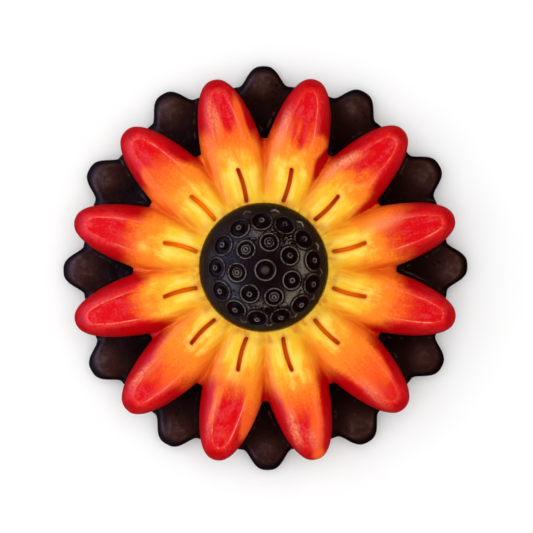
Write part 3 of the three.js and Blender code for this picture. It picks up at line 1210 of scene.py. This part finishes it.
    def place_on_petal(self, graph: Graph) -> tuple[Signal, Signal, Signal]:
        """Where a point of a material lies on its petal.

        Args:
            graph: The material's graph.

        Returns:
            The petal's number, then how far along and across the petal the point lies, in millimetres.
        """
        x, y, _ = graph.place()
        x = x - self.middle.x
        y = y - self.middle.y
        radius = (x * x + y * y) ** 0.5
        angle = graph.math("ARCTAN2", y, x) - self.turn
        petal = graph.math("ROUND", angle / SECTOR)
        off = angle - petal * SECTOR
        wrapped = graph.math("FLOORED_MODULO", petal, float(PETAL_COUNT))
        return wrapped, radius * graph.math("COSINE", off), radius * graph.math("SINE", off)

    def half_width_along(self, along: Signal) -> Signal:
        """Half the petal's width at each point of a material, from how far along the petal it lies."""
        share = ((along - self.widest_at) / (self.reach - self.widest_at)).within(0, 1)
        return (1.0 - share * share) ** (1 / self.bluntness) * self.half_width

    def outline(self, angle: float) -> float:
        """Distance from the middle to the petals' outline, with a round notch where two petals meet.

        Args:
            angle: Direction from the middle.

        Returns:
            The outline's distance, found by halving.
        """
        off = abs(angle_in_sector(angle - self.turn))
        inside, outside = self.web_ring_radius, self.reach
        for _ in range(self.halvings):
            middle = (inside + outside) / 2
            if middle * math.sin(off) < self.width_at(middle * math.cos(off)):
                inside = middle
            else:
                outside = middle
        return soft_max(inside, self.notch_reach, self.crease_softness)

    def from_crest(self, along: float, across: float) -> float:
        """How far outside the rounded edge round the dish a place lies; below 0 inside the dish."""
        length = self.crest_reach - self.widest_at
        share = max((along - self.widest_at) / length, 0.0)
        side = max(abs(across) / self.crest_half_width, TINY)
        form = side**self.crest_bluntness + share**2
        slope_across = self.crest_bluntness * side ** (self.crest_bluntness - 1) / self.crest_half_width
        return (form - 1) / max(math.hypot(slope_across, 2 * share / length), TINY)

    def dish(self, along: float, across: float) -> float:
        """How much of the shallow dish inside the crest a place has, from 0 to 1."""
        inwards = -self.from_crest(along, across)
        fall = self.dish_loss * smooth_ramp(along, *self.dish_fall)
        lengthwise = smooth_ramp(along, *self.dish_rise) * (1 - fall)
        return smooth_ramp(inwards, 0.0, self.dish_wall) * lengthwise

    def one_petal(self, along: float, across: float) -> float:
        """Height of one petal above the petals' edge.

        Args:
            along: Distance from the middle along the petal.
            across: Distance to the side of the petal's own middle line.

        Returns:
            The height above the petals' edge.
        """
        sideways = min(abs(across) / max(self.width_at(along), TINY), 1.0)
        lengthwise = math.sqrt(1 - self.share_to_tip(along) ** self.tip_puff)
        crosswise = math.sqrt(1 - sideways**self.puff)
        return self.crown * lengthwise * crosswise - self.dish_depth * self.dish(along, across)

    def top(self, radius: float, angle: float) -> float:
        """Height of the upper face before the grooves are cut.

        Args:
            radius: Distance from the middle.
            angle: Direction from the middle.

        Returns:
            The height above the surface that the flower lies on.
        """
        off = abs(angle_in_sector(angle - self.turn))
        own = self.one_petal(radius * math.cos(off), radius * math.sin(off))
        other = self.one_petal(radius * math.cos(SECTOR - off), radius * math.sin(SECTOR - off))
        web_share = min(radius / self.notch_reach, 1.0)
        web = self.web_crown * math.sqrt(1 - web_share**self.web_flatness)
        joined = soft_max(soft_max(own, other, self.crease_softness), web, self.crease_softness)
        from_crease = radius * math.sin(SECTOR / 2 - off)
        span = smooth_ramp(radius, *self.crease_rise) * (1 - smooth_ramp(radius, *self.crease_fall))
        joined -= self.crease_depth * span * bell(from_crease, 0, self.crease_width)
        return between(self.dome_seat_z, self.edge_z + joined, self.risen(radius, angle))

    def risen(self, radius: float, angle: float) -> float:
        """How much of its height the layer has: 0 in the dome's seat and 1 outside its wall."""
        spot = self.middle + place_at(radius, angle)
        return smooth_ramp((spot - self.dome_middle).length, *self.root_rise)

    def groove_cut(self, radius: float, angle: float) -> float:
        """How deep the groove is cut at a place."""
        off = angle_in_sector(angle - self.turn)
        return self.groove.cut(radius * math.cos(off), radius * math.sin(off))

    def column_angle(self, column: int, radius: float) -> float:
        """Direction of a column of points, which follows the groove's sides where there is a groove.

        Args:
            column: Which of the petal's columns, counted from its middle line.
            radius: Distance from the middle.

        Returns:
            The angle from the petal's middle line.
        """
        even = SECTOR * column / self.columns
        half = self.columns // 2
        count = abs(column)
        fine = len(self.fine_columns) - 1
        rest = max(count - fine, 0) / (half - fine)
        nearest = self.fine_columns[min(count, fine)]
        aside = math.copysign(between(nearest, radius * SECTOR / 2, rest), column)
        bowed = aside - self.groove.shift(radius) * (1 - rest)
        return between(bowed / radius, even, smooth_ramp(radius, *self.even_rise))

    def segment_angle(self, segment: int, radius: float) -> float:
        """Direction of a segment of points, counted all round the flower, at a distance from its middle."""
        petal, column = divmod(segment + self.columns // 2, self.columns)
        return self.column_angle(column - self.columns // 2, radius) + petal * SECTOR + self.turn

    def ring_radii(self) -> list[float]:
        """Radii of the rings between the dome and the web, close together at the grooves' ends."""
        inner, outer, reach = self.groove.start, self.groove.end, self.groove_end_reach
        ends = (inner - reach, inner + 3 * reach, outer - 3 * reach, outer + reach)
        stops = (self.root_ring_radius, *ends, self.web_ring_radius)
        stretches = zip(stops, stops[1:], self.ring_counts)
        return [radius for first, last, count in stretches for radius in evenly(first, last, count)]

    def build(self) -> bpy.types.Object:
        """Models the layer.

        Returns:
            The new object.
        """
        shares = list(reversed(piled_outwards(self.edge_rings)))
        radii = list(reversed(self.ring_radii()))
        under, upper = self.under_rings, len(shares)
        segments = PETAL_COUNT * self.columns
        outlines = [self.outline(self.turn + SECTOR * column / self.columns) for column in range(segments)]

        def place(ring: int, segment: int) -> Vector:
            """The place of one point."""
            if ring == 0:
                return self.middle + Vector((0, 0, self.seat_z))
            if ring <= under:
                bend = math.pi / 2 * (under - ring + 1) / (under + 1)
                share = between(self.under_share, 1.0, math.cos(bend))
                radius = between(self.web_ring_radius, outlines[segment], share)
                z = self.edge_z - self.edge_height * math.sin(bend)
                return self.middle + place_at(radius, self.segment_angle(segment, radius), z)
            step = ring - under - 1
            if step < upper:
                radius = between(self.web_ring_radius, outlines[segment], shares[step])
            elif step < upper + len(radii):
                radius = radii[step - upper]
            else:
                return self.middle + Vector((0, 0, self.dome_seat_z))
            angle = self.segment_angle(segment, radius)
            spot = self.middle + place_at(radius, angle)
            inwards = min((outlines[segment] - radius) / self.wave_inset, 1.0)
            wave = self.unevenness * hand_wave(spot, self.wave_length, self.wave_seed)
            wave *= inwards * self.risen(radius, angle)
            cut = self.groove_cut(radius, angle) if radius < self.web_ring_radius else 0.0
            spot.z = self.top(radius, angle) + wave - cut
            return spot

        ring_count = 1 + under + upper + len(radii) + 1
        piece = as_piece("petals", wrapped_disc(ring_count, segments, place))
        self.mark(piece)
        return piece

    def mark(self, piece: bpy.types.Object) -> None:
        """Stores what the paint needs to know of each point.

        Args:
            piece: The layer's object.
        """
        spots = [point.co / MILLIMETRE - self.middle for point in piece.data.vertices]
        marks = [self.marks_at(spot) for spot in spots]
        for name in marks[0]:
            write_numbers(piece, name, [mark[name] for mark in marks])

    def marks_at(self, spot: Vector) -> dict[str, float]:
        """What the paint needs to know of one place, which is measured from the layer's middle."""
        angle = math.atan2(spot.y, spot.x) - self.turn
        petal = round(angle / SECTOR)
        off = angle - petal * SECTOR
        radius = math.hypot(spot.x, spot.y)
        along, across = radius * math.cos(off), radius * math.sin(off)
        own = self.brushwork[petal % PETAL_COUNT]
        redness, salmon_sheen = self.painted(petal, along, across)
        return {
            "redness": redness,
            "salmon_sheen": salmon_sheen,
            "crest": self.crest(along, across),
            "crease": self.crease(radius, off),
            "glint": self.glint(own, along, across),
            "orange_shift": own.orange,
            "groove_tone": own.groove,
        }

    def glint(self, own: Brushwork, along: float, across: float) -> float:
        """How bright the painted highlight line along the edge of the dish is at a place.

        Args:
            own: The petal's brushwork.
            along: Distance along the petal.
            across: Distance to the left of the petal's middle line.

        Returns:
            A number from 0 to 1, lower round the tip and 0 near the root.
        """
        left, right = own.glints
        bright = between(right, left, smooth_ramp(across, *self.glint_side))
        tip = 1 - self.glint_loss * smooth_ramp(along, *self.glint_fall)
        return bright * smooth_ramp(along, *self.glint_rise) * tip

    def painted(self, petal: int, along: float, across: float) -> tuple[float, float]:
        """The red paint and the painted pale sheen at a place.

        Args:
            petal: The petal's number.
            along: Distance along the petal.
            across: Distance to the left of the petal's middle line.

        Returns:
            How red the place is, from below -1 for none to above 1 for full, and its share of painted pale
            sheen.
        """
        sideways = across / max(self.width_at(along), TINY)
        own = self.brushwork[petal % PETAL_COUNT]
        left, right = self.crease_starts[petal % PETAL_COUNT][0], self.crease_starts[petal - 1][1]
        crease_start = left if sideways > 0 else right
        from_crease = along * math.sin(SECTOR / 2) - abs(across) * math.cos(SECTOR / 2)
        beside_crease = 1 - smooth_ramp(from_crease, *self.crease_red_edge)
        joined = beside_crease * (1 - smooth_ramp(along, *self.crease_red_fall))
        start = between(own.red_start(sideways), crease_start, joined)
        redness = (along - start) / between(own.fade, self.crease_red_fade, joined)
        lowest, highest = self.redness_range
        redness = min(max(redness, lowest), highest)
        salmon_sheen = 0.0
        for stroke in self.strokes:
            if stroke.petal == petal % PETAL_COUNT:
                cover = stroke.cover(along, across)
                redness += cover * stroke.paint.value
                salmon_sheen += cover if stroke.paint is Paint.SALMON_SHEEN else 0.0
        return redness, min(salmon_sheen, 1.0)

    def crest(self, along: float, across: float) -> float:
        """How near a place lies to the rounded edge round the dish, from 0 to 1."""
        near = bell(self.from_crest(along, across), self.crest_inset, self.crest_width)
        return near * smooth_ramp(along, *self.dish_rise)

    def crease(self, radius: float, off: float) -> float:
        """How near a place lies to the crease between two petals, from 0 to 1."""
        from_crease = radius * math.sin(SECTOR / 2 - abs(off))
        left, right = self.crease_paint_widths
        near = 1 - smooth_ramp(from_crease, 0.0, left if off > 0 else right)
        return near * smooth_ramp(radius, *self.crease_paint_rise)

    def dress(self, piece: bpy.types.Object) -> None:
        """Paints and glazes the layer and says which solid it stands for."""
        finish_piece(piece, PetalGlaze().make(self), self.node)


class PostStyle(Enum):
    """What stands in the middle of a stamp, as distances from its middle with heights above the dome."""

    BUTTON = ((0.0, 0.10), (0.9, 0.02), (2.2, -0.85))
    PLAIN = ((0.0, -0.10), (0.34, -0.05), (0.66, 0.80), (0.86, 0.74), (1.9, -0.90))
    STEPPED = (
        (0.0, 0.35),
        (0.22, 0.0),
        (0.62, 0.55),
        (0.80, 0.50),
        (1.12, -0.35),
        (1.56, -0.02),
        (1.74, -0.08),
        (2.2, -0.92),
    )

    def crests(self) -> tuple[float, ...]:
        """Distances from the middle at which an edge is pale, from wear and a painted highlight."""
        return {PostStyle.BUTTON: (), PostStyle.PLAIN: (0.74,), PostStyle.STEPPED: (0.70, 1.62)}[self]


@dataclass(frozen=True)
class Stamp:
    """One stamp in the dome: a raised lip round a cup with a post or a button in it.

    The lip's pale rim, from wear and a painted highlight, has an inset, a width and a strength, and lip_bare
    is how much of it is left off on the side that faces the dome's edge, where the highlight falls away. The
    posts' rims are pale less the wider they are. Level_span is where, measured from the lip, the stamp's
    flat level gives way to the dome. Points within edge_pull of an edge are drawn towards it, and a place
    more than neighbourhood beyond the lip is left to the other stamps.
    """

    centre: Vector
    axis: Vector
    lip: float
    style: PostStyle
    lip_bare: float = 0.0
    lip_height: float = 0.28
    lip_width: float = 0.42
    lip_inset: float = 0.08
    wall: float = 0.75
    floor: float = -0.95
    edge_pull: float = 0.11
    level_span: Span = (-1.0, 0.4)
    neighbourhood: float = 2.0
    lip_rim: tuple[float, float, float] = (0.1, 0.17, 0.78)
    bare_side: Span = (-0.6, 0.3)
    post_rim_width: float = 0.18
    post_rim_fade: Span = (1.05, 0.3)

    def profile(self) -> tuple[tuple[float, float], ...]:
        """Heights above the dome at distances from the stamp's middle."""
        crest = self.lip - self.lip_inset
        return (
            *self.style.value,
            (crest - self.wall, self.floor),
            (crest, self.lip_height),
            (crest + self.lip_width, 0.0),
        )

    def height(self, distance: float) -> float:
        """Height of the stamped surface at a distance from the stamp's middle."""
        points = self.profile()
        for (near, low), (far, high) in zip(points, points[1:]):
            if distance < far:
                return between(low, high, smooth_ramp(distance, near, far))
        return 0.0

    def drawn_to_edges(self, distance: float) -> float:
        """A distance moved onto a nearby edge of the profile, so that the edge is a clean circle."""
        for edge, _ in self.profile()[1:]:
            off = distance - edge
            if abs(off) < self.edge_pull:
                return edge + off * abs(off) / self.edge_pull
        return distance

    def rim(self, distance: float, radial: Vector) -> float:
        """How near a place lies to a pale edge, pale from wear and a painted highlight.

        Args:
            distance: Its distance from the stamp's middle.
            radial: Its direction from there.

        Returns:
            A number from 0 to 1, lower on the side of a lip that faces the dome's edge.
        """
        outwards = radial.xy.normalized().dot(self.centre.xy.normalized())
        bare = self.lip_bare * smooth_ramp(outwards, *self.bare_side)
        inset, width, strength = self.lip_rim
        lip = strength * bell(distance, self.lip - inset, width) * (1 - bare)
        most, loss = self.post_rim_fade
        crests = self.style.crests()
        posts = [bell(distance, edge, self.post_rim_width) * (most - loss * edge) for edge in crests]
        return max(lip, *posts, 0.0)


@dataclass(frozen=True)
class StampRing:
    """A ring of equal stamps."""

    count: int
    reach: float
    turn: float
    lip: float
    styles: tuple[PostStyle, ...]
    lip_bare: float = 0.0


@dataclass
class CentreDome:
    """The dark dome in the middle of the flower, stamped all over.

    A cusp is a short painted highlight between two stamps of the outer ring. The brushed band is the thin
    glaze between the rings: its reach, its width, and how much of it is left on the dome's left side. It
    begins across between_edge, measured from the nearest lip. The glaze turns matt across matt_span,
    measured from the dome's middle.
    """

    node: str = "centre_dome"
    slot: str = "dome_glaze"
    radius: float = 23.1
    rise: float = 15.5
    widest_height: float = 2.5
    foot_radius: float = 21.6
    foot_rounding: Span = (22.6, 0.9)
    cusp_reach: float = 21.3
    cusp_sweep: float = 0.5
    cusp_width: float = 0.24
    cusp_ends: Span = (0.8, 1.8)
    cusp_side: Span = (-12.0, 0.0)
    cusp_strength: float = 1.4
    cusp_height: float = 0.6
    band_reach: float = 14.8
    band_width: float = 4.0
    band_left: float = 0.75
    band_side: Span = (-2.0, 12.0)
    band_left_shift: float = 0.7
    band_left_spread: float = 0.6
    between_edge: Span = (0.4, 1.2)
    matt_span: Span = (17.0, 21.5)
    button_edge: Span = (0.8, 1.9)
    stamp_shift: Vector = field(default_factory=lambda: Vector((0.6, -1.0, 0.0)))
    segments: int = 480
    dome_rings: int = 176
    key_steps: int = 500
    rings: tuple[StampRing, ...] = (
        StampRing(count=1, reach=0.0, turn=0.0, lip=3.75, styles=(PostStyle.BUTTON,)),
        StampRing(
            count=7,
            reach=10.2,
            turn=30.6 * DEGREE,
            lip=3.4,
            styles=(
                PostStyle.PLAIN,
                PostStyle.STEPPED,
                PostStyle.STEPPED,
                PostStyle.STEPPED,
                PostStyle.PLAIN,
                PostStyle.STEPPED,
                PostStyle.PLAIN,
            ),
        ),
        StampRing(
            count=13,
            reach=17.8,
            turn=11.2 * DEGREE,
            lip=3.8,
            styles=(PostStyle.PLAIN,) * 13,
            lip_bare=0.75,
        ),
    )

    def __post_init__(self) -> None:
        """Takes the dome's middle and the height of its seat from the frame."""
        self.middle = middle_of(self.node)
        self.seat_z = underside_of(self.node)

    def stamps(self) -> Iterator[Stamp]:
        """Each stamp, standing square to the dome's surface."""
        for ring in self.rings:
            for index in range(ring.count):
                angle = ring.turn + FULL_TURN * index / ring.count
                flat = self.stamp_shift + place_at(1.0, angle) * ring.reach
                height = self.rise * math.sqrt(1 - (flat.length / self.radius) ** 2)
                axis = Vector((flat.x / self.radius**2, flat.y / self.radius**2, height / self.rise**2))
                centre = Vector((flat.x, flat.y, height))
                yield Stamp(centre, axis.normalized(), ring.lip, ring.styles[index], ring.lip_bare)

    def stamped(self, spot: Vector, stamps: Sequence[Stamp]) -> tuple[Vector, float, float]:
        """Presses the nearest stamp into a place on the plain dome.

        Args:
            spot: The place, measured from the middle of the dome's widest level.
            stamps: All the stamps.

        Returns:
            The pressed place, how near it is to a pale rim of wear and painted highlight, and how far from
            every stamp, both from 0 to 1.
        """
        nearest, sunk, radial = None, 0.0, Vector()
        best = math.inf
        for stamp in stamps:
            away = spot - stamp.centre
            if away.length > stamp.lip + stamp.neighbourhood:
                continue
            depth = away.dot(stamp.axis)
            flat = away - stamp.axis * depth
            past_lip = flat.length - stamp.lip
            if past_lip < best:
                best, nearest, sunk, radial = past_lip, stamp, depth, flat
        if nearest is None or best > nearest.lip_width:
            return spot, 0.0, smooth_ramp(best, *self.between_edge) if best < math.inf else 1.0
        distance = nearest.drawn_to_edges(radial.length)
        outwards = radial.normalized() * distance
        level = sunk * smooth_ramp(distance - nearest.lip, *nearest.level_span)
        pressed = nearest.centre + outwards + nearest.axis * (level + nearest.height(distance))
        return pressed, nearest.rim(distance, radial), 0.0

    def build(self) -> bpy.types.Object:
        """Models the dome.

        Returns:
            The new object.
        """
        stamps = list(self.stamps())
        base = self.middle + Vector((0, 0, self.seat_z))
        foot = [(0.0, 0.0), (self.foot_radius, 0.0), self.foot_rounding]
        tilts = [math.pi / 2 * step / self.dome_rings for step in range(self.dome_rings + 1)]
        marks: dict[tuple[int, int, int], tuple[float, float]] = {}

        def place(ring: int, segment: int) -> Vector:
            """The place of one point."""
            angle = FULL_TURN * segment / self.segments
            outwards = place_at(1.0, angle)
            if ring < len(foot):
                radius, height = foot[ring]
                return base + outwards * radius + Vector((0, 0, height))
            tilt = tilts[ring - len(foot)]
            spot = outwards * (self.radius * math.cos(tilt)) + Vector((0, 0, self.rise * math.sin(tilt)))
            pressed, rim, beyond = self.stamped(spot, stamps)
            final = base + pressed + Vector((0, 0, self.widest_height))
            # The rims' wear and painted highlight and the cusps' painted highlight go into one mark.
            marks[self.key(final)] = (max(rim, self.cusp(spot)), beyond * self.brushed(spot))
            return final

        piece = as_piece("dome", wrapped_disc(len(foot) + len(tilts), self.segments, place))
        found = [marks.get(self.key(point.co / MILLIMETRE), (0.0, 0.0)) for point in piece.data.vertices]
        write_numbers(piece, "rim", [rim for rim, _ in found])
        write_numbers(piece, "between_stamps", [beyond for _, beyond in found])
        spots = [point.co.xy / MILLIMETRE - self.middle.xy for point in piece.data.vertices]
        write_numbers(piece, "matt", [smooth_ramp(spot.length, *self.matt_span) for spot in spots])
        off_button = [(spot - self.stamp_shift.xy).length for spot in spots]
        write_numbers(piece, "button", [1 - smooth_ramp(off, *self.button_edge) for off in off_button])
        return piece

    def cusp(self, spot: Vector) -> float:
        """Painted highlights near the dome's edge, short marks between two stamps, on all sides but the
        left.
        """
        if spot.z >= self.rise * self.cusp_height:
            return 0.0
        outer, reach = self.rings[-1], spot.xy.length
        flat = spot.xy - self.stamp_shift.xy
        step = FULL_TURN / outer.count
        off = (math.atan2(flat.y, flat.x) - outer.turn) / step - 0.5
        aside = abs(off - round(off)) * step * reach
        mark = bell(reach, self.cusp_reach - self.cusp_sweep * aside, self.cusp_width)
        mark *= 1 - smooth_ramp(aside, *self.cusp_ends)
        return mark * self.cusp_strength * smooth_ramp(spot.x, *self.cusp_side)

    def brushed(self, spot: Vector) -> float:
        """How much thin glaze was brushed over a place: most between the rings, less on the left."""
        flat = spot.xy - self.stamp_shift.xy
        left = smooth_ramp(-flat.x, *self.band_side)
        reach = self.band_reach + self.band_left_shift * left
        width = self.band_width + self.band_left_spread * left
        return bell(flat.length, reach, width) * between(1.0, self.band_left, left)

    def key(self, spot: Vector) -> tuple[int, int, int]:
        """A place rounded off, so that the same point is found again in the finished mesh."""
        return tuple(round(value * self.key_steps) for value in spot)

    def dress(self, piece: bpy.types.Object) -> None:
        """Glazes the dome and says which solid it stands for."""
        finish_piece(piece, DomeGlaze().make(), self.node)


def finish_piece(piece: bpy.types.Object, material: bpy.types.Material, node: str) -> None:
    """Gives a piece its finish and its place in the frame.

    Args:
        piece: The finished object.
        material: Its material.
        node: The solid that it stands for.
    """
    piece.data.materials.append(material)
    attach(piece, "root")
    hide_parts(node)
    log.info("%s: %d faces, replaces %s", piece.name, len(piece.data.polygons), node)


def keep_from_gloss(holder: bpy.types.Object, hidden: bool) -> None:
    """Sets whether a lamp stays out of mirrored light, also of the share that scattered rays find.

    Args:
        holder: The lamp's object.
        hidden: True to hide the lamp from glossy surfaces.
    """
    holder.visible_glossy = not hidden
    holder.data.cycles.use_multiple_importance_sampling = not hidden


@dataclass(frozen=True)
class SoftBox:
    """A flat rectangular lamp that faces the flower."""

    name: str
    azimuth: float
    off_axis: float
    width: float
    height: float
    radiance: float
    colour: Colour = (1.0, 1.0, 1.0)
    distance: float = 1.0
    lights_paint: bool = True
    shows_in_gloss: bool = True

    def build(self) -> bpy.types.Object:
        """Places the lamp, in metres.

        Returns:
            The lamp's object.
        """
        lamp = bpy.data.lights.new(self.name, "AREA")
        lamp.shape = "RECTANGLE"
        lamp.size = self.width
        lamp.size_y = self.height
        lamp.energy = self.radiance * math.pi * self.width * self.height
        lamp.color = self.colour
        away = place_at(math.sin(self.off_axis), self.azimuth, math.cos(self.off_axis))
        holder = in_scene(self.name, lamp)
        turn = away.to_track_quat("Z", "Y").to_matrix().to_4x4()
        holder.matrix_world = Matrix.Translation(away * self.distance) @ turn
        holder.visible_diffuse = self.lights_paint
        keep_from_gloss(holder, not self.shows_in_gloss)
        return holder


@dataclass(frozen=True)
class Studio:
    """The pale floor, the soft light and the camera that looks straight down.

    The window is two lamps in one place: one lights the paint, and the glint shows in the gloss alone.
    """

    floor_half_width: float = 4.0
    floor_colour: Colour = (0.83, 0.83, 0.83)
    sky_radiance: float = 0.89
    room_colour: Colour = (0.86, 0.86, 0.86)
    camera_place: tuple[float, float, float] = (0.000394, 0.000605, 1.0)
    sensor: float = 36.0
    lens: float = 181.27
    overhead: SoftBox = SoftBox(
        name="overhead",
        azimuth=0.0,
        off_axis=0.0,
        width=1.2,
        height=1.2,
        radiance=1.15,
        distance=1.2,
        shows_in_gloss=False,
    )
    window: SoftBox = SoftBox(
        name="window",
        azimuth=172 * DEGREE,
        off_axis=58 * DEGREE,
        width=1.5,
        height=0.8,
        radiance=0.9,
        shows_in_gloss=False,
    )
    glint_radiance: float = 3.1
    glint_colour: Colour = (0.42, 0.52, 1.0)

    def build_floor(self) -> bpy.types.Object:
        """Lays the floor.

        Returns:
            The floor's object.
        """
        form = bmesh.new()
        bmesh.ops.create_grid(form, x_segments=1, y_segments=1, size=self.floor_half_width)
        floor = as_piece("floor", form)
        graph = Graph("floor_paper")
        surface = graph.node("ShaderNodeBsdfDiffuse")
        surface.inputs["Color"].default_value = (*self.floor_colour, 1.0)
        floor.data.materials.append(graph.close(surface))
        floor.visible_glossy = False
        return floor

    def build_sky(self) -> bpy.types.Object:
        """Makes the even light from all over the sky, and the pale room that only the camera sees.

        Returns:
            The lamp's object.
        """
        world = bpy.data.worlds.new("room")
        bpy.context.scene.world = world
        world.use_nodes = True
        background = world.node_tree.nodes["Background"]
        background.inputs["Color"].default_value = (*self.room_colour, 1.0)
        world.cycles_visibility.diffuse = False
        world.cycles_visibility.glossy = False
        world.cycles.sampling_method = "NONE"
        lamp = bpy.data.lights.new("sky", "SUN")
        lamp.angle = math.pi
        lamp.energy = self.sky_radiance * math.pi
        holder = in_scene("sky", lamp)
        keep_from_gloss(holder, True)
        return holder

    def build_camera(self) -> bpy.types.Object:
        """Places the camera.

        Returns:
            The camera's object.
        """
        camera = bpy.data.cameras.new("camera")
        camera.sensor_width = self.sensor
        camera.lens = self.lens
        holder = in_scene("camera", camera)
        holder.location = self.camera_place
        bpy.context.scene.camera = holder
        return holder

    def build(self) -> None:
        """Sets up the whole studio."""
        bpy.context.scene.view_settings.view_transform = "Standard"
        self.build_floor()
        self.build_sky()
        self.build_camera()
        glint = replace(
            self.window,
            name="window glint",
            radiance=self.glint_radiance,
            colour=self.glint_colour,
            lights_paint=False,
            shows_in_gloss=True,
        )
        for lamp in (self.overhead, self.window, glint):
            lamp.build()


def main() -> None:
    """Builds the studio and the flower, layer by layer, and notes their sizes."""
    logging.basicConfig(level=logging.INFO, format="%(name)s: %(message)s")
    Studio().build()
    for layer in (BackLayer(), PetalLayer(), CentreDome()):
        layer.dress(layer.build())


if __name__ == "__main__":
    main()
